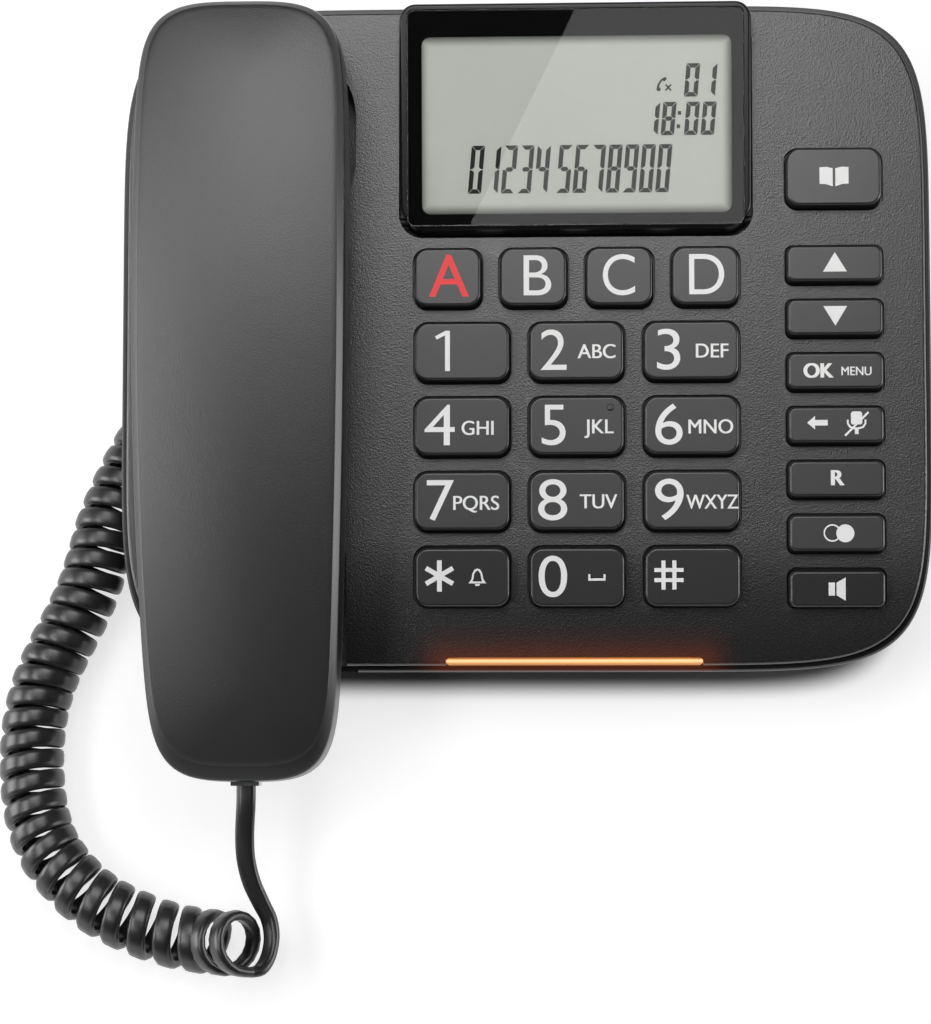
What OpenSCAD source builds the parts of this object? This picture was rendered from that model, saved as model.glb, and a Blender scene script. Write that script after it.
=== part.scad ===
// Corded desk telephone with large buttons, a tilting display and a curly handset cord.
// The keys, the display and the handset cradle are laid out on the sloping deck:
// x runs to the right, v runs up the slope to the rear, w stands square to the deck.

/* [Base] */
// Width of the base
base_w = 220; // [212:1:232]
// Length of the base along the slope
base_l = 182; // [178:1:192]
// Slope of the deck in degrees
deck_tilt = 9; // [7:0.5:11]
// Height of the deck above the table at mid length
deck_h = 42; // [41:0.5:48]
// Wall of the moulded housings
wall = 2.5; // [2:0.1:3]
// Width of the smooth rim around the textured deck
rim_w = 1.4; // [1.2:0.1:2]
// Radius of the deck's rounded edge
edge_r = 2.5; // [1.5:0.1:3]
// Depth of the seam between the housings below the deck
split_drop = 8; // [7.5:0.1:9]
// Distance from mid length at which the deck starts to bend down
bend_start = 54; // [50:1:60]
// Radius of the bend at the front of the deck
bend_r = 170; // [150:5:260]
// Height of the rubber feet
foot_h = 3; // [2.5:0.1:4]
// Diameter of a rubber foot
foot_d = 14; // [10:0.5:16]
// How far the sides draw in towards the table
side_inset = 18; // [14:1:20]
// How far the front draws in towards the table
front_inset = 11; // [8:1:13]
// How far the rear draws in towards the table
rear_inset = 15; // [12:1:18]

/* [Keys] */
// Width of a dialling key's hole
dial_w = 26.9; // [25:0.1:27.2]
// Length of a dialling key's hole
key_l = 17.2; // [15:0.1:17.4]
// Distance between the columns of dialling keys
dial_pitch = 30.85; // [30.6:0.05:31.2]
// Distance between the rows of keys
row_pitch = 20.25; // [20:0.05:20.5]
// Width of a direct-call key's hole
direct_w = 19.4; // [18:0.1:20]
// Distance between the direct-call keys
direct_pitch = 23.2; // [22.8:0.1:23.4]
// Width of a function key's hole
func_w = 26.9; // [24:0.1:27.2]
// Length of a function key's hole
func_l = 11.2; // [9:0.1:11.5]
// Distance between the function keys
func_pitch = 14.55; // [14.2:0.05:14.8]
// Corner radius of the dialling keys
key_r = 3.6; // [2:0.1:5]
// Corner radius of the function keys
func_r = 2; // [1:0.1:3]
// Gap around a key
key_gap = 0.4; // [0.3:0.05:0.6]
// Height of the keys above the deck
key_h = 4; // [2.5:0.1:5]
// How far a key goes down
key_travel = 1.4; // [0.8:0.1:1.5]

/* [Display] */
// Width of the display frame beside the screen
disp_side = 5.2; // [4:0.1:6]
// Length of the display frame behind its hinge
disp_l = 59; // [57:0.1:59.5]
// Angle of the display above the deck when it lies flat
disp_rise = 5; // [4:0.5:6]
// Radius of the hinge barrel at the front of the frame
barrel_r = 4.1; // [3.6:0.1:4.5]
// Diameter of the hinge pins
pin_d = 2.4; // [2:0.1:3]
// Thickness of the display window
glass_t = 1.4; // [1:0.1:1.8]
// Gap around the display
disp_gap = 0.45; // [0.4:0.05:0.7]
// Width of the visible screen
screen_w = 84.8; // [78:0.1:86]
// Height of the visible screen
screen_l = 48; // [42:0.1:49]

/* [Handset] */
// Length of the handset
hs_len = 206.6; // [204:0.1:210]
// Width of the handset
hs_w = 57; // [54:0.1:57.5]
// Height of the handset's back above the deck
hs_top = 34; // [32:0.5:38]
// How much the handset's back falls away towards its ends
hs_drop = 10; // [8:0.5:12]
// Height of the crown across the handset's back
hs_crown = 2; // [1:0.1:3]
// Height of the finger gap under the grip
grip_gap = 12; // [10:0.5:13]
// Wall of the handset covers
hs_wall = 2.2; // [1.8:0.1:2.6]
// Diameter of the ear cup
cup_d = 44; // [40:0.5:46]
// Depth of the ear pocket in the deck
ear_depth = 11.3; // [10:0.1:12]
// Depth of the rest for the mouthpiece
mouth_depth = 8.3; // [7.5:0.1:8.6]

/* [Cord] */
// Width of the flat cord
cord_w = 4.8; // [4:0.1:4.9]
// Thickness of the flat cord
cord_t = 2.6; // [2.2:0.1:2.8]
// Outer diameter of the curls
curl_d = 18; // [16:0.5:18]
// Number of curls
curls = 33; // [24:1:33]

/* [Hidden] */
$fn = 48;
slack = 0.3;
pin_clear = 0.05;
seam = 0.25;
x_power = 8;
v_power = 6.5;
ring_n = 64;

// Keys: name, centre x, centre v, hole width, hole length, corner radius
key_cx = 14.2;
row_one_v = -4.8;
func_x = 83.7;
func_one_v = 18.5;
book_v = 42.1;
dial_names = [
    ["key_1", "key_2", "key_3"],
    ["key_4", "key_5", "key_6"],
    ["key_7", "key_8", "key_9"],
    ["key_star", "key_0", "key_hash"]];
direct_names = ["key_a", "key_b", "key_c", "key_d"];
func_names = ["key_up", "key_down", "key_ok", "key_back", "key_recall", "key_redial", "key_speaker"];
dial_keys = [for (row = [0 : 3]) for (col = [0 : 2])
    [dial_names[row][col], key_cx + (col - 1) * dial_pitch, row_one_v - row * row_pitch, dial_w, key_l, key_r]];
direct_keys = [for (i = [0 : 3])
    [direct_names[i], key_cx + (i - 1.5) * direct_pitch, row_one_v + row_pitch, direct_w, key_l, key_r]];
func_keys = [for (i = [0 : 6])
    [func_names[i], func_x, func_one_v - i * func_pitch, func_w, func_l, func_r]];
book_key = [["key_book", func_x, book_v, func_w, key_l, key_r]];
keys = concat(direct_keys, dial_keys, book_key, func_keys);
key_draft = 0.35;
key_round = 0.5;
flange_w = 0.45;
flange_t = 1.2;
stem_r = 2.6;

// Handset cradle on the deck
hs_rear_v = 86;
hs_front_v = hs_rear_v - hs_len;
hs_reach = hs_len / 2.066;
hs_high_v = hs_rear_v - 0.76 * hs_reach;
cradle_x = -74.5;
ear_pocket_w = 57.4;
ear_pocket_v = 54.2;
ear_pocket_l = 51.6;
ear_pocket_r = 20;
cup_v = 55;
mouth_pocket_w = 52.6;
mouth_pocket_v = hs_front_v + 69.6;
mouth_pocket_r = 10;

// Membrane and board under the keys
membrane_w = -wall - 5.1;
membrane_t = 1;
board_t = 1.6;
board_x = [-36, 96];
board_v = [-76.5, 24];
board_ear_v = 56;
pegs = [[-33.4, 14], [-33.4, -60], [64.5, 5], [64.5, -64], [93.5, 53.6]];
peg_r = 1.2;

// Screws: x, v
screw_places = [[-60, 18], [-60, -45], [64.5, -45.2], [73, 67]];
screw_r = 1.5;
boss_r = 3.6;
boss_split_z = 20;
screw_head_z = [9, 11.5];
screw_tip_z = 28.5;

// Display module
disp_x = 14;
disp_w = screen_w + 2 * disp_side;
disp_t = 4.1;
hinge_v = 31.3;
hinge_w = -1.6;
disp_r = 4.4;
tub_floor_w = -6.3;
tub_wall = 1.9;
tub_r = 4;
cover_in = 1;
cover_v = [37, 83.4];
tub_rear_v = 84.6;
cover_w = -5.7;
glass_w = disp_w - 3.9;
glass_p = [-1.2, 57.4];
board_ear_x = [disp_x + disp_w / 2 + disp_gap + tub_wall + 3.05, 96];
screen_p = [2, 50];
pin_in = 3.6;

// Cord channel under the left edge, y measured from mid length
chan_x = -76;
chan_y = [-52, 34];
chan_z = deck_h - 20.5;
plug_w = 7.6;
plug_h = 6.6;
base_plug_x = -84;
base_plug_z = 11;
base_plug_y = [23, 33.7];
socket_wall = 1.6;

// Line socket at the rear, y measured from mid length
line_x = 58;
line_y = [62, 77];
line_w = 15;
line_hgt = 13;
line_hole = [10.4, 7.6];

// Loudspeaker under the grip
speaker_v = -13;
speaker_r = 19.5;
grille_slots = 7;
grille_pitch = 4.2;

// Hook switch
hook_v = 38;
hook_travel = 4.5;
hook_w = 8;
hook_l = 5;
hook_stem = wall + hook_travel + 0.5;

// Ballast plate
ballast_w = 90;
ballast_l = 60;
ballast_t = 2.4;
ballast_r = 5;

// Light bar on the front lip
light_cx = 13.3;
light_w = 69.3;
light_t = 2;
light_v = -88.2;
light_foot = 3;
light_reach = 1.6;

// Cord route, hand-chosen points with y measured from mid length
coil_points = [
    [-96, -2, 9.1], [-101, -10, 9.1], [-105.5, -18.5, 9.1], [-110, -27, 9.1], [-114, -36, 9.1],
    [-117.3, -45, 9.1], [-119.5, -54, 9.1], [-122, -63, 9.1], [-125.5, -71.5, 9.1],
    [-129.5, -80, 9.1], [-133, -88.5, 9.1], [-135.2, -97.5, 9.1], [-136, -107, 9.1],
    [-135.6, -116.5, 9.1], [-134, -126, 9.1], [-130.6, -135, 9.1], [-124.6, -143, 9.1],
    [-116.5, -150, 9.1], [-107, -155, 9.1], [-96, -158.8, 9.1], [-85, -160.8, 10.9],
    [-75, -162.2, 21]];
curl_steps = 8;
coil_start_turn = 190;
base_tail_points = [[-84, 17.5, 11], [-84.3, 12.5, 10.4], [-86, 7.5, 9.8], [-90, 3, 9.3]];
hand_tail_points = [
    [-75, -133, 23.4], [-74.8, -139.5, 21.1], [-73.4, -145.5, 18.8], [-71, -150.8, 16.8],
    [-68.9, -155, 15.4], [-68.1, -159.2, 14.9], [-68.3, -163, 15.3], [-69.2, -166.4, 16.3],
    [-70.8, -168.9, 17.6]];

// Places worked out from the sizes
hs_curve = 0.00022;
hs_side = 2.4;
hs_side_front = 5.2;
hs_side_rear = 2.8;
hs_part = 13;
hs_seam = 0.08;
upper_inset = rim_w + seam;
board_w = membrane_w - membrane_t - board_t;
base_rear_y = base_l / 2 * cos(deck_tilt) + (split_drop + 0.5) * sin(deck_tilt);
hs_front_y = (hs_front_v + 0.4) * cos(deck_tilt)
    - (hs_spine(hs_front_v) - hs_crown - 3.2) * sin(deck_tilt);
origin_y = -(base_rear_y + hs_front_y) / 2;

// Small helpers
function lerp(a, b, t) = a + (b - a) * t;
function unit(a) = a / norm(a);
function smooth(x, lo, hi) = let (t = max(0, min(1, (x - lo) / (hi - lo)))) t * t * (3 - 2 * t);
function power(x, p) = sign(x) * pow(abs(x), p);

module deck() {
    translate([0, origin_y, deck_h]) rotate([deck_tilt, 0, 0]) children();
}
function on_deck(p) = [
    p.x,
    p.y * cos(deck_tilt) - p.z * sin(deck_tilt),
    p.y * sin(deck_tilt) + p.z * cos(deck_tilt) + deck_h];
module from_mid() {
    translate([0, origin_y, 0]) children();
}

// Flat outline with round corners, centred
module rounded(w, l, r) {
    square([w - 2 * r, l], center = true);
    square([w, l - 2 * r], center = true);
    for (sx = [-1, 1]) for (sy = [-1, 1])
        translate([sx * (w / 2 - r), sy * (l / 2 - r)]) circle(r);
}

// Solid through a stack of closed rings that share one number of points.
// The caps are strips between points that mirror each other across the long axis.
module loft(rings, partner) {
    n = len(rings[0]);
    half = len(partner);
    function strip(base, up) = [for (j = [0 : half - 2])
        let (a = partner[j], b = partner[j + 1])
        up ? [base + a[0], base + a[1], base + b[1], base + b[0]]
           : [base + a[0], base + b[0], base + b[1], base + a[1]]];
    sides = [for (k = [0 : len(rings) - 2]) for (i = [0 : n - 1])
        let (a = k * n + i, b = k * n + (i + 1) % n)
        each [[a, a + n, b + n], [a, b + n, b]]];
    polyhedron(
        points = [for (r = rings) each r],
        faces = concat(strip(0, false), sides, strip((len(rings) - 1) * n, true)),
        convexity = 8);
}

// Tube through rings, closed by flat ends
module tube(rings) {
    n = len(rings[0]);
    last = (len(rings) - 1) * n;
    sides = [for (k = [0 : len(rings) - 2]) for (i = [0 : n - 1])
        let (a = k * n + i, b = k * n + (i + 1) % n)
        each [[a, a + n, b + n], [a, b + n, b]]];
    ends = [for (i = [1 : n - 2]) each [[0, i, i + 1], [last, last + i + 1, last + i]]];
    polyhedron(points = [for (r = rings) each r], faces = concat(ends, sides), convexity = 10);
}

// Height of the deck's surface at a distance up the slope
function deck_w(v) = v > -bend_start ? 0
    : sqrt(pow(bend_r, 2) - pow(v + bend_start, 2)) - bend_r;

// Plan of the base: flat sides with a slight bulge and broad corners
ring_partner = [for (j = [0 : ring_n / 2 - 1])
    let (r = (ring_n * 3 / 4 + j) % ring_n) [r, (ring_n * 3 / 2 - 1 - r) % ring_n]];
function plan(i, inset) = let (a = (i + 0.5) * 360 / ring_n) [
    (base_w / 2 - inset) * power(cos(a), 2 / x_power),
    (base_l / 2 - inset) * power(sin(a), 2 / v_power)];
function flat_ring(inset, w) = [for (i = [0 : ring_n - 1]) [each plan(i, inset), w]];
function deck_ring(inset, drop) = [for (i = [0 : ring_n - 1])
    let (p = plan(i, inset)) [p.x, p.y, deck_w(p.y) - drop]];

// Upper housing
upper_rings = [
    deck_ring(upper_inset + wall + 1.5, wall),
    deck_ring(upper_inset + wall, wall + 1.5),
    flat_ring(upper_inset + wall, -split_drop),
    flat_ring(upper_inset, -split_drop),
    deck_ring(upper_inset, edge_r),
    deck_ring(upper_inset + edge_r * (1 - cos(30)), edge_r * (1 - sin(30))),
    deck_ring(upper_inset + edge_r * (1 - cos(60)), edge_r * (1 - sin(60))),
    deck_ring(upper_inset + edge_r, 0)];

module ear_pocket(grow, depth, top) {
    translate([cradle_x, ear_pocket_v, -depth]) linear_extrude(depth + top)
        rounded(ear_pocket_w + 2 * grow, ear_pocket_l + 2 * grow, ear_pocket_r + grow);
}

// The rest for the mouthpiece runs out through the front
module mouth_pocket(grow, depth, top) {
    reach = base_l;
    translate([cradle_x, mouth_pocket_v + grow - reach / 2, -depth]) linear_extrude(depth + top)
        rounded(mouth_pocket_w + 2 * grow, reach, mouth_pocket_r + grow);
}

module display_tub(grow, floor_w, top) {
    front = hinge_v - barrel_r - disp_gap - grow;
    rear = tub_rear_v + grow;
    translate([disp_x, (front + rear) / 2, floor_w]) linear_extrude(top - floor_w)
        rounded(disp_w + 2 * disp_gap + 2 * grow, rear - front, tub_r + grow);
}

module boss_column(place, z0, z1, r) {
    p = on_deck([place.x, place.y, -wall]);
    translate([p.x, p.y, z0]) cylinder(r = r, h = z1 - z0);
}
function underside_z(place) = on_deck([place.x, place.y, -wall]).z;

module level() {
    rotate([-deck_tilt, 0, 0]) translate([0, 0, -deck_h]) children();
}

module grille() {
    span = (grille_slots - 1) / 2;
    for (i = [-span : span]) {
        chord = sqrt(pow(speaker_r - 3, 2) - pow(i * grille_pitch, 2));
        translate([cradle_x + i * grille_pitch, speaker_v, -wall - 1]) linear_extrude(wall + 2)
            rounded(1.8, 2 * chord, 0.85);
    }
}

module base_upper_shell() {
    color("#3a3b3d") deck() difference() {
        union() {
            loft(upper_rings, ring_partner);
            ear_pocket(wall, ear_depth + wall, -1);
            intersection() {
                mouth_pocket(wall, mouth_depth + wall, -edge_r - 2);
                loft([flat_ring(upper_inset, -mouth_depth - wall), flat_ring(upper_inset, -1)], ring_partner);
            }
            display_tub(tub_wall, tub_floor_w - tub_wall, -1);
            for (p = pegs)
                translate([p.x, p.y, board_w - 0.8]) cylinder(r = peg_r, h = -board_w - 0.2);
            level() for (s = screw_places)
                boss_column(s, boss_split_z + slack, underside_z(s) + 1, boss_r);
            translate([cradle_x, speaker_v, -wall - 1.8]) difference() {
                cylinder(r = speaker_r + 2, h = 2.4);
                translate([0, 0, -1]) cylinder(r = speaker_r + slack, h = 4);
            }
        }
        ear_pocket(0, ear_depth, 5);
        mouth_pocket(0, mouth_depth, 5);
        display_tub(0, tub_floor_w, 5);
        for (k = keys)
            translate([k[1], k[2], -wall - 4]) linear_extrude(wall + 8) rounded(k[3], k[4], k[5]);
        translate([light_cx - light_w / 2 - 0.1, light_v - light_t / 2 - 0.1, -split_drop - 1])
            cube([light_w + 0.2, light_t + 0.2, split_drop + 1]);
        translate([light_cx - light_w / 2 - 0.1, light_v - light_t / 2 - 4, -split_drop - 1])
            cube([light_w + 0.2, 4.1, split_drop + 1]);
        translate([light_cx - light_w / 2 + light_foot - 0.1, light_v, -split_drop - 1])
            cube([light_w - 2 * light_foot + 0.2, 6, 2.4]);
        grille();
        translate([cradle_x, hook_v, -ear_depth - wall - 1]) linear_extrude(wall + 2)
            rounded(hook_w + 2 * slack, hook_l + 2 * slack, 1);
        for (sx = [-1, 1])
            translate([disp_x + sx * (disp_w / 2 + disp_gap - 0.5), hinge_v, hinge_w])
                rotate([0, sx * 90, 0]) cylinder(d = pin_d + 2 * pin_clear, h = tub_wall + 0.3);
        level() for (s = screw_places)
            boss_column(s, boss_split_z, screw_tip_z + 1, screw_r + pin_clear);
    }
}

// Lower housing: rings run up the outside, over the rim and down the inside
foot_y = [
    -base_l / 2 * cos(deck_tilt) + split_drop * sin(deck_tilt) + front_inset,
    base_l / 2 * cos(deck_tilt) + split_drop * sin(deck_tilt) - rear_inset];
function foot_point(i, inset) = let (a = (i + 0.5) * 360 / ring_n) [
    (base_w / 2 - side_inset - inset) * power(cos(a), 2 / x_power),
    (foot_y[0] + foot_y[1]) / 2 + ((foot_y[1] - foot_y[0]) / 2 - inset) * power(sin(a), 2 / v_power)];
// Share of the way from the rim, t = 0, to the foot, t = 1
function flank(rim_inset, foot_inset, rim_w_at, foot_z, t) = [for (i = [0 : ring_n - 1])
    let (p = plan(i, rim_inset), top = on_deck([p.x, p.y, rim_w_at]), low = foot_point(i, foot_inset),
         s = pow(t, 1.5))
    [lerp(top.x, low.x, s), lerp(top.y, low.y, s), lerp(top.z, foot_z, t)]];
function on_deck_ring(r) = [for (p = r) on_deck(p)];
ledge_w = -split_drop - seam;
lower_rings = concat(
    [for (t = [1, 0.8, 0.6, 0.4, 0.2, 0]) flank(0, 0, ledge_w - 1, foot_h, t)],
    [on_deck_ring(deck_ring(0, 3.4)),
     on_deck_ring(deck_ring(0.5, 2.6)),
     on_deck_ring(deck_ring(rim_w, 2.6)),
     on_deck_ring(flat_ring(rim_w, ledge_w)),
     on_deck_ring(flat_ring(rim_w + wall + 0.5, ledge_w))],
    [for (t = [0.2, 0.4, 0.6, 0.8, 1])
        flank(rim_w + wall + 0.5, wall, ledge_w, foot_h + wall, t)]);
lower_solid_rings = [for (k = [0 : 5]) lower_rings[k]];

module side_channel(grow) {
    reach = base_w / 2 + 4;
    translate([-reach, chan_y[0] - grow, -1])
        cube([reach + chan_x + grow, chan_y[1] - chan_y[0] + 2 * grow, chan_z + 1 + grow]);
}

feet_places = [
    [base_w / 2 - side_inset - foot_d, foot_y[0] + foot_d * 0.8],
    [base_w / 2 - side_inset - foot_d * 0.8, foot_y[1] - foot_d * 1.4],
    [-base_w / 2 + side_inset + foot_d * 0.8, foot_y[1] - foot_d * 1.4],
    [chan_x + foot_d, foot_y[0] + foot_d * 0.8]];

module line_socket_room(grow, y0, y1) {
    translate([line_x - line_w / 2 - grow, y0, foot_h + wall - grow + slack])
        cube([line_w + 2 * grow, y1 - y0, line_hgt + 2 * grow]);
}

module base_lower_shell() {
    color("#2f3032") from_mid() difference() {
        union() {
            loft(lower_rings, ring_partner);
            intersection() {
                loft(lower_solid_rings, ring_partner);
                side_channel(wall);
            }
            for (s = screw_places)
                boss_column(s, foot_h + 0.5, boss_split_z, boss_r + 1.2);
        }
        side_channel(0);
        translate([0, 0, deck_h]) rotate([deck_tilt, 0, 0]) {
            mouth_pocket(wall + slack, mouth_depth + wall + slack, 5);
            ear_pocket(wall + slack, ear_depth + wall + slack, 5);
            display_tub(tub_wall + slack, tub_floor_w - tub_wall - slack, 5);
        }
        translate([base_plug_x - plug_w / 2 - socket_wall - 0.2, chan_y[1] - 1, base_plug_z - plug_h / 2 - socket_wall - 0.2])
            cube([plug_w + 2 * socket_wall + 0.4, wall + 2, plug_h + 2 * socket_wall + 0.4]);
        line_socket_room(0.2, line_y[1] - 5, line_y[1] + 30);
        for (s = screw_places) {
            boss_column(s, -1, screw_head_z[1] + 0.3, boss_r);
            boss_column(s, 0, boss_split_z + 1, screw_r + 0.2);
        }
        for (f = feet_places)
            translate([f.x, f.y, 0]) cylinder(d = foot_d + 0.4, h = foot_h + 1);
    }
}

module rubber_feet() {
    color("#1a1a1a") from_mid() for (f = feet_places) translate([f.x, f.y, 0]) {
        cylinder(d1 = foot_d - 2, d2 = foot_d, h = 1);
        translate([0, 0, 1]) cylinder(d = foot_d, h = foot_h);
    }
}

module base_screws() {
    color("#8f9296") from_mid() for (s = screw_places) difference() {
        union() {
            boss_column(s, screw_head_z[0], screw_head_z[1], boss_r - 0.6);
            boss_column(s, screw_head_z[1], screw_tip_z, screw_r);
        }
        p = on_deck([s.x, s.y, -wall]);
        for (a = [0, 90])
            translate([p.x, p.y, screw_head_z[0]]) rotate(a) cube([3.4, 0.7, 2.4], center = true);
    }
}

module board_outline(grow) {
    translate([board_x[0] - grow, board_v[0] - grow])
        square([board_x[1] - board_x[0] + 2 * grow, board_v[1] - board_v[0] + 2 * grow]);
    translate([board_ear_x[0] - grow, board_v[1] - 1])
        square([board_ear_x[1] - board_ear_x[0] + 2 * grow, board_ear_v - board_v[1] + 1 + grow]);
}

module board_holes(extra) {
    for (p = pegs)
        translate([p.x, p.y]) circle(peg_r + 0.15 + extra);
    for (s = screw_places)
        translate([s.x, s.y + (board_w + wall) * tan(deck_tilt)]) circle(boss_r + 1.2 + extra);
}

module main_board() {
    color("#1f5d3a") deck() translate([0, 0, board_w]) linear_extrude(board_t) difference() {
        board_outline(0);
        board_holes(0);
    }
}

module keypad_membrane() {
    color("#55575a") deck() {
        translate([0, 0, membrane_w - membrane_t]) linear_extrude(membrane_t) difference() {
            board_outline(-0.6);
            board_holes(0.2);
        }
        for (k = keys)
            translate([k[1], k[2], membrane_w - 0.1]) difference() {
                cylinder(r = stem_r + 1.4, h = 0.6, $fn = 32);
                translate([0, 0, -1]) cylinder(r = stem_r + 0.5, h = 2, $fn = 32);
            }
    }
}

module loudspeaker() {
    color("#232426") deck() translate([cradle_x, speaker_v, 0]) {
        translate([0, 0, -wall - 1.8]) cylinder(r = speaker_r, h = 1.5);
        translate([0, 0, -wall - 7]) cylinder(r1 = 11, r2 = speaker_r - 1.5, h = 5.3);
        translate([0, 0, -wall - 11]) cylinder(r = 11, h = 4.1);
    }
}

// Amber light guide with a round nose on the front lip
module light_bar() {
    nose_w = deck_w(light_v) - 1.7;
    color("#e8a860") deck() translate([light_cx, light_v, 0]) intersection() {
        union() {
            translate([-light_w / 2, 0, nose_w]) rotate([0, 90, 0]) cylinder(d = light_t, h = light_w);
            translate([-light_w / 2, -light_t / 2, -split_drop + 0.1])
                cube([light_w, light_t, nose_w + split_drop - 0.1]);
            translate([-light_w / 2 + light_foot, 0, -split_drop + 0.1])
                cube([light_w - 2 * light_foot, light_t / 2 + light_reach, 1.2]);
        }
        translate([0, 0, -split_drop]) linear_extrude(split_drop) {
            rounded(light_w, light_t, light_t / 2 - 0.05);
            translate([-light_w / 2 + light_foot, 0])
                square([light_w - 2 * light_foot, light_t / 2 + light_reach]);
        }
    }
}

module light_board() {
    color("#1f5d3a") deck() translate([light_cx, light_v + light_t / 2 + light_reach + 0.15, -split_drop])
        translate([-light_w / 2 + 4, 0, -4]) cube([light_w - 8, 1, 5.6]);
}

// Plunger that the ear cup holds down
module hook_plunger() {
    color("#2a2b2d") deck() translate([cradle_x, hook_v, 0]) {
        translate([0, 0, -ear_depth - hook_stem]) linear_extrude(hook_stem) rounded(hook_w, hook_l, 0.9);
        translate([0, 0, -ear_depth - hook_stem - 1.4]) linear_extrude(1.4) rounded(hook_w + 3, hook_l + 3, 1);
    }
}

module hook_switch() {
    arm_x = hook_w / 2 + 2.2;
    color("#111213") deck() translate([cradle_x, hook_v, 0]) {
        translate([0, 0, -ear_depth - hook_stem - 6.7]) linear_extrude(5) rounded(2 * arm_x + 4, 8, 0.8);
        for (sx = [-1, 1])
            translate([sx * (arm_x + 1), 0, -ear_depth - hook_stem - 2])
                linear_extrude(hook_stem + 2 - wall) rounded(2, 7, 0.6);
    }
}

// Open-ended socket for a small telephone plug, mouth towards -y
module plug_socket(depth, back) {
    w = plug_w + 0.4;
    h = plug_h + 0.4;
    difference() {
        translate([-w / 2 - socket_wall, 0, -h / 2 - socket_wall])
            cube([w + 2 * socket_wall, depth + back, h + 2 * socket_wall]);
        translate([-w / 2, -1, -h / 2]) cube([w, depth + 1, h]);
    }
}

module plug(length) {
    difference() {
        translate([-plug_w / 2, 0, -plug_h / 2]) cube([plug_w, length, plug_h]);
        translate([-plug_w / 2 + 1.2, length - 5, plug_h / 2 - 1]) cube([plug_w - 2.4, 6, 2]);
    }
    translate([-1.5, 1, plug_h / 2 - 1]) cube([3, length - 3, 0.9]);
}

module base_cord_socket() {
    color("#151617") from_mid() translate([base_plug_x, chan_y[1] - 8, base_plug_z]) plug_socket(8.2, 3);
}

module base_plug() {
    color("#d8dadc") from_mid() translate([base_plug_x, base_plug_y[0], base_plug_z])
        plug(base_plug_y[1] - base_plug_y[0]);
}

module line_socket() {
    color("#151617") from_mid() difference() {
        line_socket_room(0, line_y[0], line_y[1]);
        translate([line_x - line_hole[0] / 2, line_y[0] + 3, foot_h + wall + slack + (line_hgt - line_hole[1]) / 2])
            cube([line_hole[0], 40, line_hole[1]]);
        translate([line_x - 2.2, line_y[0] + 5, foot_h + wall + slack + 1.4]) cube([4.4, 40, 4]);
    }
}

module ballast_plate() {
    color("#7d8084") from_mid() translate([-10, -30, foot_h + wall]) linear_extrude(ballast_t) difference() {
        rounded(ballast_w, ballast_l, ballast_r);
        for (sx = [-1, 1]) translate([sx * (ballast_w / 2 - 9), 0]) circle(ballast_r / 2);
    }
}

// Display module: p runs along its face from the hinge, q stands square to it
module on_display() {
    deck() translate([disp_x, hinge_v, hinge_w]) rotate([disp_rise, 0, 0]) children();
}
// Outline of the frame with round corners at the rear
module display_plan() {
    spare = 10;
    translate([0, (disp_l - spare) / 2]) rounded(disp_w, disp_l + spare, disp_r);
}
// Barrel with ball ends, so that it turns freely in the corners of its recess
module hinge_barrel() {
    rotate([0, 90, 0]) rotate_extrude() intersection() {
        translate([0, -disp_w / 2]) square([barrel_r, disp_w]);
        union() {
            square([2 * barrel_r, disp_w - 2 * barrel_r], center = true);
            for (s = [-1, 1]) translate([0, s * (disp_w / 2 - barrel_r)]) circle(barrel_r);
        }
    }
}
module display_frame() {
    color("#1c1d1f") on_display() difference() {
        intersection() {
            union() {
                hinge_barrel();
                translate([-disp_w / 2, 0, 0]) cube([disp_w, disp_l, disp_t]);
            }
            translate([0, 0, -barrel_r]) linear_extrude(barrel_r + disp_t) display_plan();
        }
        translate([0, (glass_p[0] + glass_p[1]) / 2, disp_t - glass_t - 0.1]) linear_extrude(glass_t + 1)
            rounded(glass_w + 0.2, glass_p[1] - glass_p[0] + 0.2, 2);
        translate([0, (screen_p[0] + screen_p[1]) / 2, -1]) linear_extrude(disp_t + 2)
            rounded(screen_w + 3.4, screen_l + 3.4, 1);
        for (sx = [-1, 1])
            translate([sx * (disp_w / 2 - pin_in), 0, 0]) rotate([0, sx * 90, 0])
                cylinder(d = pin_d + 2 * pin_clear, h = pin_in + 1);
    }
}

module display_window() {
    color("#101214") on_display() translate([0, (glass_p[0] + glass_p[1]) / 2, disp_t - glass_t])
        linear_extrude(glass_t - 0.1) rounded(glass_w, glass_p[1] - glass_p[0], 1.9);
}

module screen_panel() {
    color("#b9c0b4") on_display() translate([0, (screen_p[0] + screen_p[1]) / 2, 0.3])
        linear_extrude(disp_t - glass_t - 0.4) rounded(screen_w + 3, screen_l + 3, 0.8);
}

module display_board() {
    color("#1f5d3a") on_display() translate([0, (screen_p[0] + screen_p[1]) / 2 + 2, -1.6])
        linear_extrude(1.2) rounded(screen_w - 6, screen_l - 10, 1);
}

// Tub behind the frame, cut off along the frame's underside
module display_rear_cover() {
    w = disp_w - 2 * cover_in;
    mid_v = (cover_v[0] + cover_v[1]) / 2;
    len_v = cover_v[1] - cover_v[0];
    color("#26272a") difference() {
        deck() difference() {
            translate([disp_x, mid_v, cover_w]) linear_extrude(20) rounded(w, len_v, 3);
            translate([disp_x, mid_v, cover_w + 1.6]) linear_extrude(20) rounded(w - 3.2, len_v - 3.2, 1.4);
        }
        on_display() translate([-100, -20, -0.05]) cube([200, 120, 60]);
    }
}

module display_hinge_pins() {
    color("#9a9da1") deck() for (sx = [-1, 1])
        translate([disp_x + sx * (disp_w / 2 - pin_in + 0.3), hinge_v, hinge_w]) rotate([0, sx * 90, 0])
            cylinder(d = pin_d, h = pin_in - 0.3 + disp_gap + tub_wall - 0.4);
}

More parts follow.
